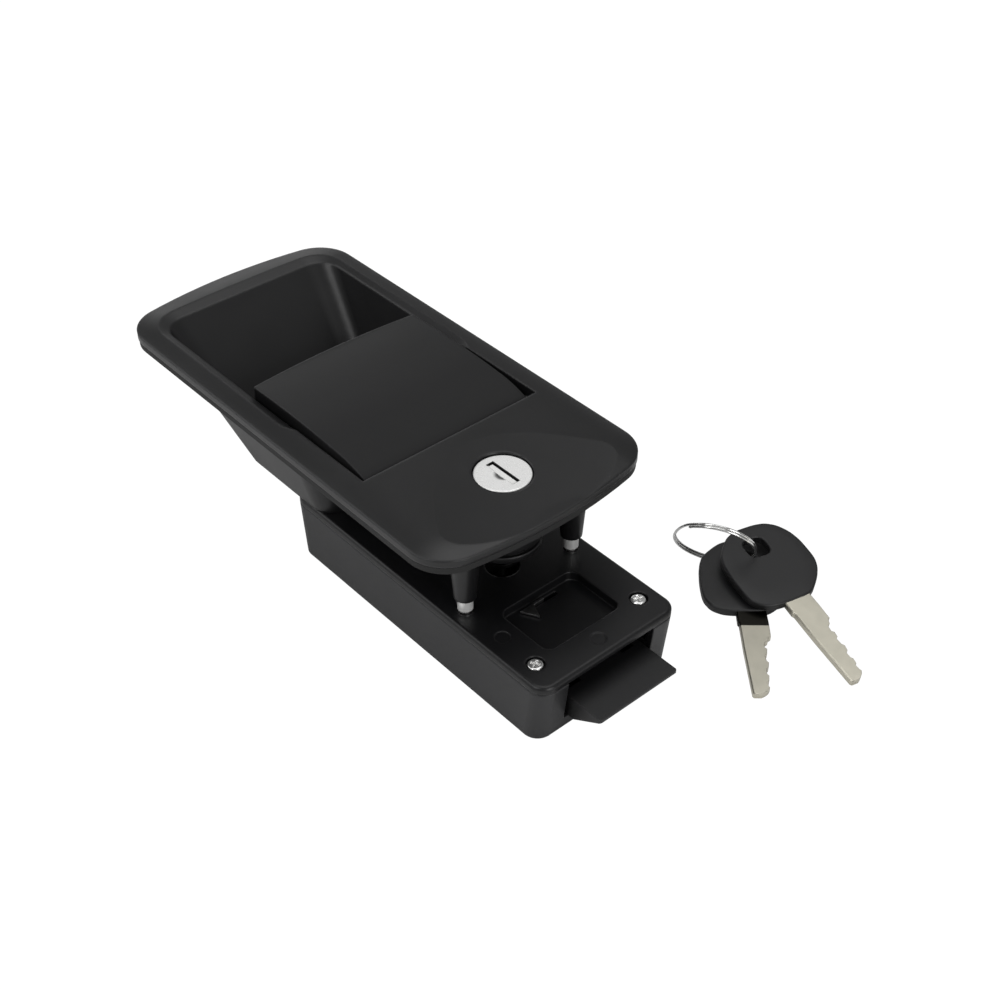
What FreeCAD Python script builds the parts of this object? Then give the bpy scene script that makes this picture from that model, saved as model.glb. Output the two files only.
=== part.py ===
import FreeCAD, Part
import math
import os

# Paddle-handle entry door lock for a motorhome, with its two keys, in millimetres.
# Origin: on the flat interior face of the inside housing, straight under the key cylinder.
# +X points to the slam bolt, +Y across the lock, +Z out of the vehicle.
# The lock stands on its interior face, as it would on a bench.

os.makedirs("parts", exist_ok=True)
V = FreeCAD.Vector
X_AXIS = V(1, 0, 0)
Y_AXIS = V(0, 1, 0)
Z_AXIS = V(0, 0, 1)

# Clearances
RUN = 0.05            # shaft in its bore, on the radius
GAP = 0.3             # moving piece beside a fixed one
FIT = 0.1             # fixed piece in its pocket

# Inside housing and cover
HOUSING_X0 = -68.0    # blank end, at the open edge
HOUSING_X1 = 46.0     # bolt end, at the open edge
HOUSING_W = 52.6
END_DRAFT = 2.0       # each end leans in by this much over the height
CORNER_R = 5.0
WALL = 2.4
HOUSING_H = 18.9
COVER_T = 2.6
COVER_EDGE_R = 1.2
PARTING = 0.35        # chamfer on both sides of the joint between housing and cover

# Door and outside handle
DOOR_T = 29.1         # door leaf between the cover and the gasket
GASKET_T = 2.0
RIM_T = 2.6
PLATE_L = 163.0
PLATE_W = 80.0
PLATE_R = 13.0
PLATE_END_R = 170.0   # the two ends bow outwards
PLATE_X1 = 23.2       # bolt end of the plate
CROWN_H = 1.6
CROWN_W = 11.0
TROUGH_X = -16.3      # crest of the shallow trough that falls towards the bolt end
TROUGH_R = 400.0
TROUGH_FALL = 2.6     # degrees
PLATE_WALL = 3.0
BAY_CHAMFER = 3.0
GASKET_W = 8.0
GASKET_INSET = 0.3
RIM_CHAMFER = 0.4     # under the plate's rim, so that a line shows above the gasket

# Dish for the fingers
DISH_X0 = -128.3
RIM_STRIP = 7.8       # flat strip between the dish and the long sides of the plate
DISH_SIDE_DRAFT = 7.9 # each side leans in by this much down to the floor
DISH_R = 8.0
DISH_FLOOR_R = 5.5
DISH_WALL = 2.3
PAN_END_X = -49.8     # outside of the deep pan's blunt end
BAY_DEPTH = 10.9      # shallow bay under the paddle's hinge
LOCK_FACE_X = -21.6   # where the dish ends and the lock face begins
FLARE_DEPTH = 1.1     # the opening's edge rolls outwards over this height
FLARE_SLOPE = 2.8     # and by this many times as much sideways

# Outside paddle
PADDLE_SIDE_GAP = 2.0
PADDLE_FREE_X = -77.4
PADDLE_BULGE = 1.6
PADDLE_RIB_Y = 15.0
PADDLE_RIB_T = 1.6
PADDLE_RISE = 2.7     # free edge above the rim of the plate
PADDLE_TOP = ((-53.0, 3.0), (-36.0, 2.1), (-30.5, 1.4))   # x and height above the rim along its top
PADDLE_SHELL = 2.2
PADDLE_SKIRT = 5.4
HINGE_X = -25.9
HINGE_DROP = 4.0      # hinge axis below the rim
BARREL_R = 4.0
BARREL_MEET = 76.0    # degrees round the barrel where the paddle's top runs into it
HINGE_PIN_R = 1.5
ARM_T = 3.0
ARM_TIP_X = -27.2
ARM_TIP_R = 1.4
ARM_HALF = 1.4
ARM_EYE_R = 2.8
ARM_WAIST = 6.0       # the arm reaches its full slimness this far above the cover
ARM_LUG_X0 = -46.0
ARM_LUG_X1 = -27.7
ARM_LUG_LOW = 2.5     # underside of the lug below the hinge axis
ARM_SLOT_W = 8.0
SPRING_BAY_Y = 9.0
RIVET_R = 1.2
RIVET_XS = (-43.0, -36.5)
CHEEK_T = 1.8

# Key cylinder
FACE_R = 8.4          # flush in the sleeve's bore, with a thin dark ring round it
FACE_T = 1.6
FACE_RISE = 0.6       # key face above the rim of the plate
PLUG_R = 6.5
SLEEVE_R = 8.7
COLLAR_R = 11.5
CLIP_T = 1.0
CLIP_SLOT_HALF = 9.0
CLIP_GROOVE = 1.2
CYLINDER_DROP = 23.0  # collar's rim below the plate's rim
PLUG_TAIL_R = 3.7
PLUG_TAIL_END = 26.0  # height of the tail's end
KEYWAY_L = 11.2
KEYWAY_W = 2.4
WAFERS = 6
WAFER_PITCH = 2.8
WAFER_T = 1.0
FINGER_R = 1.2
FINGER_ORBIT = 3.6
TAIL_T = 1.2
TAIL_SCREW_R = 1.2
TAIL_SCREW_HEAD_R = 2.0
WAFER_L = 12.0
WAFER_W = 4.6
FLAP_T = 0.5
FLAP_HINGE_R = 0.35
FLAP_ROOM_W = 3.0
FLAP_SLIT = 0.55      # dark slit along two edges of the dust flap
SCOOP_R = 8.3         # ball that hollows the thumb scoop beside the keyway
SCOOP_X = 0.4
SCOOP_UP = 7.7

# Bosses and screws
BOSS_X = 7.4
BOSS_Y = 20.4
BOSS_TOP_R = 5.0
BOSS_TIP_R = 3.3
BOSS_TIP_Z = 27.0
STUD_R = 2.3
STUD_GRIP = 18.0      # length of stud moulded into the boss
STUD_GAP = 0.8        # stud's end above the cover
SCREW_R = 1.95        # long fixing screw, M4
SCREW_HEAD_R = 3.6
SCREW_HEAD_T = 2.4
COVER_SCREW_X = 36.2
COVER_SCREW_Y = 19.8
COVER_SCREW_R = 1.2
COVER_SCREW_HEAD_R = 2.2
COVER_SCREW_HEAD_T = 1.4

# Recess in the cover
RECESS_X0 = 14.7
RECESS_X1 = 35.2
RECESS_W = 28.4
RECESS_DEPTH = 3.0
RECESS_WALL = 1.8
ARM_HOLE_X0 = -40.5
ARM_HOLE_X1 = -24.0
LIP_X1 = -20.0        # bolt side of the lip that locates the cover in the housing
MARK_R = 2.3          # two shallow round marks beside the recess
MARK_DEPTH = 0.2
MARKS = ((22.5, -19.7), (40.3, 0.0))
SCREW_POST_R = 4.6
COVER_POST_R = 2.8

# Slam bolt
BOLT_W = 29.8
BOLT_Z0 = 4.6
BOLT_T = 7.5
BOLT_TIP_X = 57.2
BOLT_TAIL_X = 21.0
BOLT_BEVEL_X = 46.8
BOLT_LIP = 0.9
BOLT_TAIL_W = 19.8
BOLT_BORE = 11.0      # depth of the spring's bore
BOLT_TRAVEL = 11.0
BOLT_SLOT_W = 32.8
BOLT_SPRING_Z = 8.5
BOLT_CORNER_R = 0.8

# Retractor
RETRACTOR_Z0 = 10.8
RETRACTOR_T = 1.8
RETRACTOR_W = 24.0
RETRACTOR_X0 = -40.0
RIB_T = 2.5
SEAT_X1 = 2.5         # bolt side of the retractor at rest
SEAT_T = 2.2
SEAT_Z0 = 5.0
EAR_Y = 15.2
BAR_Z0 = 9.0          # underside of the two hooked bars
BAR_HALF = 12.4
BAR_T = 2.1
HOOK_X0 = 28.5
HOOK_X1 = 31.0
HOOK_Y = 8.2

# Springs
SPRING_R = 2.4        # outside of the two long springs
SPRING_WIRE_R = 0.4
SPRING_POST_R = 1.3
RETRACTOR_SPRING_Z = 14.6
SMALL_SPRING_R = 2.35
SMALL_WIRE_R = 0.35
PADDLE_SPRING_R = 2.2 # middle of its wire

# Lock slide
LOCK_SLIDE_T = 1.4
LOCK_SLIDE_X0 = -4.0
LOCK_SLIDE_Y0 = -7.2
LOCK_SLIDE_Y1 = 1.0
LOCK_SHIFT = 5.1
GUIDE_X0 = 8.6        # guide under the cover that the slide runs through
GUIDE_X1 = 11.6
GUIDE_WALL = 1.3
STRAP_T = 0.7
TAB_X = 16.2          # thin upright bar, with a flat pointer at its end
TAB_T = 0.8
TAB_Y0 = -2.8
TAB_Y1 = 0.9
TAB_RISE = 1.1        # bar above the recess floor
POINTER = ((16.4, -7.7), (16.4, -2.6), (21.6, -4.8))
POINTER_T = 0.6

# Inside lever and its dish
LEVER_BOX_X0 = -62.5
LEVER_BOX_X1 = -13.5
LEVER_BOX_W = 38.0
LEVER_BOX_H = 10.5
LEVER_BOX_WALL = 1.5
WEB_XS = (-55.0, -38.0, -21.0)   # webs between the lever's dish and the housing's sides
WEB_T = 1.4
LEVER_X = -20.0
LEVER_PIN_Z = 3.8
LEVER_PIN_R = 1.5
LEVER_SIDE_GAP = 0.7
LEVER_FREE_X = -46.0
LEVER_ARM_H = 12.8
LEVER_ARM_R = 1.5

# Snib
SNIB_X = 19.0
SNIB_TRAVEL = 6.0
SNIB_L = 9.0
SNIB_W = 8.0
SNIB_PAD_Z = 3.4
SNIB_RECESS = 1.9

# Keys and ring, lying beside the lock
KEY_HEAD_L = 31.0
KEY_HEAD_W = 28.8
KEY_HEAD_T = 2.9
KEY_HEAD_EDGE = 0.7
# The bow's outline on one side, as shares of its half length and half width
KEY_BOW = ((-12.3 / 15.5, 2 / 3), (-7.6 / 15.5, 11 / 12), (-1 / 15.5, 1.0), (6.5 / 15.5, 0.9375), (12.9 / 15.5, 23 / 36))
KEY_HOLE_X = -6.9
KEY_HOLE_L = 11.0
KEY_HOLE_W = 7.6
KEY_TANG_X = 1.0
KEY_SHOULDER_L = 8.0
KEY_SHOULDER_W = 9.0
KEY_BLADE_W = 7.6
KEY_BLADE_T = 2.0
KEY_TIP_X = 47.8      # from the middle of the head
KEY_POINT = 2.2
KEY_GROOVE = 0.5
KEY_CUTS = (1.5, 0.8, 1.8, 1.1, 0.6)
KEY_CUT_FLAT = 1.4
KEY_CUT_PITCH = 4.6
KEYS = {
    "front": {"x": 41.6, "y": 71.85, "z": 6.1, "turn": -14.8, "tilt": 7.9},
    "rear": {"x": 37.8, "y": 66.1, "z": 1.7, "turn": -41.8, "tilt": 2.57},
}
RING_R = 12.6
RING_WIRE_R = 0.45
RING_AT = (27.3, 62.7, 12.0)
RING_AXIS = (-0.473, 0.755, 0.454)

# Widths that follow
DISH_W = PLATE_W - 2 * RIM_STRIP
DISH_FLOOR_W = DISH_W - 2 * DISH_SIDE_DRAFT
PADDLE_W = DISH_W - 2 * PADDLE_SIDE_GAP
LEVER_W = LEVER_BOX_W - 2 * LEVER_BOX_WALL - 2 * LEVER_SIDE_GAP

# Heights that follow
COVER_TOP = HOUSING_H + COVER_T
GASKET_Z0 = COVER_TOP + DOOR_T
PLATE_Z0 = GASKET_Z0 + GASKET_T
RIM_Z = PLATE_Z0 + RIM_T
CROWN_Z = RIM_Z + CROWN_H
HINGE_Z = RIM_Z - HINGE_DROP
BAY_Z = RIM_Z - BAY_DEPTH
COLLAR_Z = RIM_Z - CYLINDER_DROP
PLATE_XC = PLATE_X1 - PLATE_L / 2
BOLT_TOP = BOLT_Z0 + BOLT_T
ARM_TIP_Z = RETRACTOR_Z0 + 4.0
LEVER_TIP_Z = LEVER_PIN_Z + LEVER_ARM_H
PAN_FLOOR_Z = COVER_TOP + DISH_WALL
FACE_Z = RIM_Z + FACE_RISE
SLEEVE_TOP = FACE_Z - FACE_T - GAP
CLIP_Z = COLLAR_Z + 2.0
RECESS_Z = COVER_TOP - RECESS_DEPTH
ARM_LUG_Z0 = HINGE_Z - ARM_LUG_LOW
ARM_LUG_Z1 = HINGE_Z + ARM_EYE_R
RIVET_Z = (ARM_LUG_Z0 + ARM_LUG_Z1) / 2
RIVET_HALF = ARM_T / 2 + FIT + CHEEK_T
STOP_X = SEAT_X1 + GAP
RIB_TOP = HOUSING_H - 0.5
RIB_FACES = (ARM_TIP_X - ARM_TIP_R - GAP, LEVER_X - LEVER_ARM_R - GAP)
STRAP_Z = RETRACTOR_Z0 + RETRACTOR_T + GAP
LOCK_SLIDE_Z = STRAP_Z + STRAP_T + GAP
TAB_Z = RECESS_Z + TAB_RISE
FLAP_Z = FACE_Z - 0.8
FLAP_HINGE_Z = FLAP_Z + 0.1
FLAP_Y = -KEYWAY_W / 2 + 0.45
FLARE_Z = CROWN_Z - FLARE_DEPTH


def box(x0, x1, y0, y1, z0, z1):
    return Part.makeBox(x1 - x0, y1 - y0, z1 - z0, V(x0, y0, z0))


def rod(r, z0, z1, x=0.0, y=0.0):
    return Part.makeCylinder(r, z1 - z0, V(x, y, z0), Z_AXIS)


def rod_y(r, y0, y1, x, z):
    return Part.makeCylinder(r, y1 - y0, V(x, y0, z), Y_AXIS)


def rod_x(r, x0, x1, y, z):
    return Part.makeCylinder(r, x1 - x0, V(x0, y, z), X_AXIS)


def cut_all(shape, tools):
    return shape.cut(tools[0].fuse(tools[1:]) if len(tools) > 1 else tools[0])


def fuse_all(shapes):
    return shapes[0].fuse(shapes[1:]).removeSplitter() if len(shapes) > 1 else shapes[0]


def arc(a, m, b):
    return Part.Arc(V(*a), V(*m), V(*b)).toShape()


def line(a, b):
    return Part.makeLine(V(*a), V(*b))


def rounded_rect(x0, x1, y0, y1, r, z):
    """Closed wire of a rectangle with four round corners at one height."""
    edges = []
    q = r * (1 - math.sqrt(0.5))
    edges.append(line((x0 + r, y0, z), (x1 - r, y0, z)))
    edges.append(arc((x1 - r, y0, z), (x1 - q, y0 + q, z), (x1, y0 + r, z)))
    edges.append(line((x1, y0 + r, z), (x1, y1 - r, z)))
    edges.append(arc((x1, y1 - r, z), (x1 - q, y1 - q, z), (x1 - r, y1, z)))
    edges.append(line((x1 - r, y1, z), (x0 + r, y1, z)))
    edges.append(arc((x0 + r, y1, z), (x0 + q, y1 - q, z), (x0, y1 - r, z)))
    edges.append(line((x0, y1 - r, z), (x0, y0 + r, z)))
    edges.append(arc((x0, y0 + r, z), (x0 + q, y0 + q, z), (x0 + r, y0, z)))
    return Part.Wire(edges)


def rounded_block(x0, x1, y0, y1, r, z0, z1):
    wire = rounded_rect(x0, x1, y0, y1, r, z0)
    return Part.Face(wire).extrude(V(0, 0, z1 - z0))


def plate_outline(inset, z):
    """Outline of the outside plate: straight sides, bowed ends and round corners."""
    half_l = PLATE_L / 2 - inset
    half_w = PLATE_W / 2 - inset
    r = PLATE_R - inset
    end_r = PLATE_END_R - inset
    end_c = half_l - end_r
    corner_x = end_c + math.sqrt((end_r - r) ** 2 - (half_w - r) ** 2)
    corner_y = half_w - r
    reach = math.hypot(corner_x - end_c, corner_y)
    tx = end_c + (corner_x - end_c) * end_r / reach
    ty = corner_y * end_r / reach
    mid = (math.pi / 2 + math.atan2(corner_y, corner_x - end_c)) / 2
    mx = corner_x + r * math.cos(mid)
    my = corner_y + r * math.sin(mid)

    def at(x, y):
        return (PLATE_XC + x, y, z)

    return Part.Wire([
        line(at(-corner_x, -half_w), at(corner_x, -half_w)),
        arc(at(corner_x, -half_w), at(mx, -my), at(tx, -ty)),
        arc(at(tx, -ty), at(half_l, 0), at(tx, ty)),
        arc(at(tx, ty), at(mx, my), at(corner_x, half_w)),
        line(at(corner_x, half_w), at(-corner_x, half_w)),
        arc(at(-corner_x, half_w), at(-mx, my), at(-tx, ty)),
        arc(at(-tx, ty), at(-half_l, 0), at(-tx, -ty)),
        arc(at(-tx, -ty), at(-mx, -my), at(-corner_x, -half_w)),
    ])


def plate_slab(inset, z0, z1):
    return Part.Face(plate_outline(inset, z0)).extrude(V(0, 0, z1 - z0))


def polygon_prism_y(points, y0, y1):
    """Flat profile given as (x, z) corners, pushed along Y."""
    wire = Part.makePolygon([V(x, y0, z) for x, z in points] + [V(points[0][0], y0, points[0][1])])
    return Part.Face(wire).extrude(V(0, y1 - y0, 0))


def polygon_prism_x(points, x0, x1):
    """Flat profile given as (y, z) corners, pushed along X."""
    wire = Part.makePolygon([V(x0, y, z) for y, z in points] + [V(x0, points[0][0], points[0][1])])
    return Part.Face(wire).extrude(V(x1 - x0, 0, 0))


def helix_spring(mean_r, wire_r, turns, start, axis, length):
    """Coil of round wire with its own axis, from one end to the other."""
    pitch = (length - 2 * wire_r) / turns
    path = Part.makeHelix(pitch, pitch * turns, mean_r)
    ring = Part.Wire(Part.makeCircle(wire_r, V(mean_r, 0, 0), Y_AXIS))
    coil = Part.Wire(path).makePipeShell([ring], True, True)
    coil.translate(V(0, 0, wire_r))
    coil.Placement = FreeCAD.Placement(V(*start), FreeCAD.Rotation(Z_AXIS, axis)).multiply(coil.Placement)
    return coil


def export(name, shape):
    shape.exportStep("parts/" + name + ".step")


# Outside handle

def dish_section(grow, z):
    """Outline of the finger dish at one height: it narrows downwards and its blank end is a ramp."""
    down = CROWN_Z - z
    share = down / (CROWN_Z - PAN_FLOOR_Z)
    half = DISH_W / 2 - share * (DISH_W - DISH_FLOOR_W) / 2 + grow
    r = DISH_R + (DISH_FLOOR_R - DISH_R) * share + grow
    return rounded_rect(DISH_X0 + down - grow, PAN_END_X - DISH_WALL + grow, -half, half, r, z)


def dish_cavity(grow, floor_z, top_z):
    return Part.makeLoft([dish_section(grow, floor_z), dish_section(grow, top_z)], True, True)


def dish_flare():
    """Rolled edge of the dish's opening, from its foot to the same height above the crown."""
    spread = 2 * FLARE_DEPTH * FLARE_SLOPE
    return Part.makeLoft([dish_section(0.0, FLARE_Z), dish_section(spread, CROWN_Z + FLARE_DEPTH)], True, True)


def make_outer_plate():
    pillow = Part.makeLoft([
        plate_outline(0.0, RIM_Z),
        plate_outline(CROWN_W * 0.25, RIM_Z + CROWN_H * 0.5),
        plate_outline(CROWN_W * 0.55, RIM_Z + CROWN_H * 0.86),
        plate_outline(CROWN_W, CROWN_Z),
    ], True)
    trough = Part.makeCylinder(TROUGH_R, 2 * PLATE_L, V(0, 0, 0), X_AXIS)
    trough.rotate(V(0, 0, 0), Y_AXIS, TROUGH_FALL)
    trough.translate(V(TROUGH_X, 0, CROWN_Z + TROUGH_R / math.cos(math.radians(TROUGH_FALL))))
    body = plate_slab(0.0, PLATE_Z0, RIM_Z)
    body = body.makeChamfer(RIM_CHAMFER, [e for e in body.Edges if abs(e.CenterOfMass.z - PLATE_Z0) < 0.01])
    half_bay = DISH_W / 2 + DISH_WALL
    pan = dish_cavity(DISH_WALL, COVER_TOP, PLATE_Z0)
    bay_low = BAY_Z - DISH_WALL
    bay = rounded_block(PAN_END_X - 2 * DISH_R, LOCK_FACE_X + DISH_WALL, -half_bay, half_bay, 3.0, bay_low, PLATE_Z0)
    bay = bay.common(polygon_prism_x([
        (-half_bay, PLATE_Z0), (-half_bay, bay_low + BAY_CHAMFER), (-half_bay + BAY_CHAMFER, bay_low),
        (half_bay - BAY_CHAMFER, bay_low), (half_bay, bay_low + BAY_CHAMFER), (half_bay, PLATE_Z0),
    ], DISH_X0, PLATE_X1))
    barrel = rod(COLLAR_R, COLLAR_Z, PLATE_Z0)
    bosses = [Part.makeCone(BOSS_TIP_R, BOSS_TOP_R, PLATE_Z0 - BOSS_TIP_Z, V(BOSS_X, s * BOSS_Y, BOSS_TIP_Z))
              for s in (-1, 1)]
    hollow = plate_slab(3.0, PLATE_Z0, CROWN_Z - PLATE_WALL)
    keep = [rod(COLLAR_R, PLATE_Z0, CROWN_Z)]
    keep += [rod(BOSS_TOP_R, PLATE_Z0, CROWN_Z, BOSS_X, s * BOSS_Y) for s in (-1, 1)]
    keep.append(box(DISH_X0 - DISH_WALL, LOCK_FACE_X + DISH_WALL, -half_bay, half_bay, PLATE_Z0, CROWN_Z))
    shell = body.fuse(pillow.cut(trough)).cut(cut_all(hollow, keep))
    shape = fuse_all([shell, pan, bay, barrel] + bosses)
    stud_top = BOSS_TIP_Z + STUD_GRIP
    tools = [
        dish_cavity(0.0, PAN_FLOOR_Z, CROWN_Z + 2.0),
        dish_flare(),
        box(PAN_END_X - DISH_R, LOCK_FACE_X, -DISH_W / 2, DISH_W / 2, BAY_Z, CROWN_Z + 2.0),
        box(HINGE_X - 8.0, LOCK_FACE_X - 1.0, -ARM_SLOT_W / 2, ARM_SLOT_W / 2, BAY_Z - 2 * DISH_WALL, BAY_Z + 1.0),
        rod(SLEEVE_R, COLLAR_Z - 1.0, CROWN_Z + 1.0),
        rod_y(HINGE_PIN_R, -half_bay + 0.5, half_bay - 0.5, HINGE_X, HINGE_Z),
        box(0.0, COLLAR_R + 1.0, -CLIP_SLOT_HALF, CLIP_SLOT_HALF, CLIP_Z, CLIP_Z + CLIP_T + 2 * FIT),
    ]
    tools += [rod(STUD_R, BOSS_TIP_Z - 1.0, stud_top, BOSS_X, s * BOSS_Y) for s in (-1, 1)]
    return cut_all(shape, tools)


def make_gasket():
    ring = plate_slab(GASKET_INSET, GASKET_Z0, PLATE_Z0)
    half = DISH_W / 2 + DISH_WALL + FIT
    return cut_all(ring, [
        plate_slab(GASKET_INSET + GASKET_W, GASKET_Z0 - 1.0, PLATE_Z0 + 1.0),
        dish_cavity(DISH_WALL + FIT, GASKET_Z0 - 1.0, PLATE_Z0 + 1.0),
        box(PAN_END_X - 2 * DISH_R, LOCK_FACE_X + DISH_WALL + FIT, -half, half, GASKET_Z0 - 1.0, PLATE_Z0 + 1.0),
    ])


def on_barrel(r, degrees, y):
    angle = math.radians(degrees)
    return (HINGE_X + r * math.cos(angle), y, HINGE_Z + r * math.sin(angle))


def paddle_profile(drop, y):
    """Side outline of the paddle, offset inwards by a wall thickness."""
    free_x = PADDLE_FREE_X + drop
    r = BARREL_R - drop
    free_low = (free_x, y, RIM_Z + PADDLE_RISE - PADDLE_SKIRT)
    free_top = (free_x, y, RIM_Z + PADDLE_RISE - drop)
    middle, back, shoulder = [(x, y, RIM_Z + rise - drop) for x, rise in PADDLE_TOP]
    meet = on_barrel(r, BARREL_MEET, y)
    return Part.Face(Part.Wire([
        arc(free_top, middle, back),
        arc(back, shoulder, meet),
        arc(meet, on_barrel(r, BARREL_MEET / 2, y), on_barrel(r, 0.0, y)),
        line(on_barrel(r, 0.0, y), on_barrel(r, 180.0, y)),
        line(on_barrel(r, 180.0, y), free_low),
        line(free_low, free_top),
    ]))


def make_outer_paddle():
    half = PADDLE_W / 2
    body = paddle_profile(0.0, -half).extrude(V(0, PADDLE_W, 0))
    bow_r = (half ** 2 + PADDLE_BULGE ** 2) / (2 * PADDLE_BULGE)
    top_z = CROWN_Z + 2 * PADDLE_RISE
    bow = rod(bow_r, BAY_Z, top_z, PADDLE_FREE_X - PADDLE_BULGE + bow_r, 0.0)
    keep = box(ARM_LUG_X0, HINGE_X + 2 * BARREL_R, -half, half, BAY_Z, top_z)
    nose = box(PADDLE_FREE_X - PADDLE_BULGE, PADDLE_FREE_X + 2.0, -half, half,
               RIM_Z + PADDLE_RISE - PADDLE_SKIRT, RIM_Z + PADDLE_RISE)
    body = body.fuse(nose).common(bow.fuse(keep)).removeSplitter()
    inner_half = half - PADDLE_SHELL
    inner = paddle_profile(PADDLE_SHELL, -inner_half).extrude(V(0, 2 * inner_half, 0))
    below = box(PADDLE_FREE_X + PADDLE_SHELL, HINGE_X - BARREL_R, -inner_half, inner_half,
                BAY_Z - PADDLE_SKIRT, RIM_Z + PADDLE_RISE - PADDLE_SKIRT + 1.5)
    hollow = inner.common(box(PADDLE_FREE_X, HINGE_X - BARREL_R, -half, half, BAY_Z, top_z)).fuse(below)
    half_rib = PADDLE_RIB_T / 2
    ribs = [box(PADDLE_FREE_X + 1.0, HINGE_X, y - half_rib, y + half_rib, HINGE_Z + 0.6, top_z).common(inner)
            for y in (-PADDLE_RIB_Y, PADDLE_RIB_Y)]
    barrel = rod_y(BARREL_R, -half, half, HINGE_X, HINGE_Z)
    shape = fuse_all([body.cut(hollow), barrel] + ribs)
    eye_r = ARM_EYE_R + FIT
    arm_bay = rod_y(eye_r, -ARM_T / 2 - GAP, SPRING_BAY_Y, HINGE_X, HINGE_Z)
    arm_bay = arm_bay.fuse(box(HINGE_X - 2 * BARREL_R, HINGE_X + eye_r, -ARM_T / 2 - GAP, SPRING_BAY_Y,
                               HINGE_Z - 2 * BARREL_R, HINGE_Z))
    lug_slot = box(ARM_LUG_X0 - FIT, ARM_LUG_X1 + FIT, -ARM_T / 2 - FIT, ARM_T / 2 + FIT,
                   ARM_LUG_Z0 - 2 * FIT, ARM_LUG_Z1 + FIT)
    cheeks = box(ARM_LUG_X0, HINGE_X - BARREL_R + 0.5, -RIVET_HALF, RIVET_HALF, ARM_LUG_Z0, RIM_Z + 0.8)
    shape = shape.fuse(cheeks).removeSplitter()
    holes = [rod_y(RIVET_R, -RIVET_HALF - 1.0, RIVET_HALF + 1.0, x, RIVET_Z) for x in RIVET_XS]
    pin_hole = rod_y(HINGE_PIN_R + RUN, -half - 1.0, half + 1.0, HINGE_X, HINGE_Z)
    return cut_all(shape, [arm_bay, lug_slot, pin_hole] + holes)


def make_paddle_pin():
    half = DISH_W / 2 + DISH_WALL - 0.6
    return rod_y(HINGE_PIN_R, -half, half, HINGE_X, HINGE_Z)


def make_paddle_arm():
    y0 = -ARM_T / 2
    eye = rod_y(ARM_EYE_R, y0, ARM_T / 2, HINGE_X, HINGE_Z)
    waist_z = COVER_TOP + ARM_WAIST
    waist_x = HINGE_X + (ARM_TIP_X - HINGE_X) * (HINGE_Z - waist_z) / (HINGE_Z - ARM_TIP_Z)
    blade = polygon_prism_y([
        (HINGE_X - ARM_EYE_R, HINGE_Z), (HINGE_X + ARM_EYE_R, HINGE_Z), (waist_x + ARM_HALF, waist_z),
        (ARM_TIP_X + ARM_HALF, ARM_TIP_Z), (ARM_TIP_X - ARM_HALF, ARM_TIP_Z), (waist_x - ARM_HALF, waist_z),
    ], y0, ARM_T / 2)
    tip = rod_y(ARM_TIP_R, y0, ARM_T / 2, ARM_TIP_X, ARM_TIP_Z)
    lug = box(ARM_LUG_X0, ARM_LUG_X1, y0, ARM_T / 2, ARM_LUG_Z0, ARM_LUG_Z1)
    shape = fuse_all([eye, blade, tip, lug])
    holes = [rod_y(RIVET_R, y0 - 1.0, ARM_T / 2 + 1.0, x, RIVET_Z) for x in RIVET_XS]
    return cut_all(shape, [rod_y(HINGE_PIN_R + RUN, y0 - 1.0, ARM_T / 2 + 1.0, HINGE_X, HINGE_Z)] + holes)


def make_arm_rivets():
    return [rod_y(RIVET_R, -RIVET_HALF, RIVET_HALF, x, RIVET_Z) for x in RIVET_XS]


def make_paddle_spring():
    y0 = ARM_T / 2 + 0.6
    return helix_spring(PADDLE_SPRING_R, SMALL_WIRE_R, 5, (HINGE_X, y0, HINGE_Z), Y_AXIS, SPRING_BAY_Y - 0.6 - y0)


# Key cylinder

def make_cylinder_sleeve():
    body = rod(SLEEVE_R - FIT, COLLAR_Z, SLEEVE_TOP)
    groove = rod(SLEEVE_R + 1.0, CLIP_Z, CLIP_Z + CLIP_T + 2 * FIT).cut(
        rod(SLEEVE_R - CLIP_GROOVE, CLIP_Z, CLIP_Z + CLIP_T + 2 * FIT))
    return cut_all(body, [rod(PLUG_R + RUN, COLLAR_Z - 1.0, SLEEVE_TOP + 1.0), groove])


def make_cylinder_clip():
    """Flat spring clip, open towards -X, pushed into the sleeve's groove through the barrel's slot."""
    z0 = CLIP_Z + FIT
    outer = rod(COLLAR_R, z0, z0 + CLIP_T)
    bore = rod(SLEEVE_R - CLIP_GROOVE + FIT, z0 - 1.0, z0 + CLIP_T + 1.0)
    mouth = box(-COLLAR_R - 1.0, FIT, -COLLAR_R - 1.0, COLLAR_R + 1.0, z0 - 1.0, z0 + CLIP_T + 1.0)
    sides = [box(-1.0, COLLAR_R + 1.0, s * CLIP_SLOT_HALF - 3.0 + s * (3.0 - FIT),
                 s * CLIP_SLOT_HALF + 3.0 + s * (3.0 - FIT), z0 - 1.0, z0 + CLIP_T + 1.0) for s in (-1, 1)]
    return cut_all(outer, [bore, mouth] + sides)


def keyway(z0, z1):
    return box(-KEYWAY_L / 2, KEYWAY_L / 2, -KEYWAY_W / 2, KEYWAY_W / 2, z0, z1)


def wafer_heights():
    return [FACE_Z - 6.4 - i * WAFER_PITCH for i in range(WAFERS)]


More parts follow.
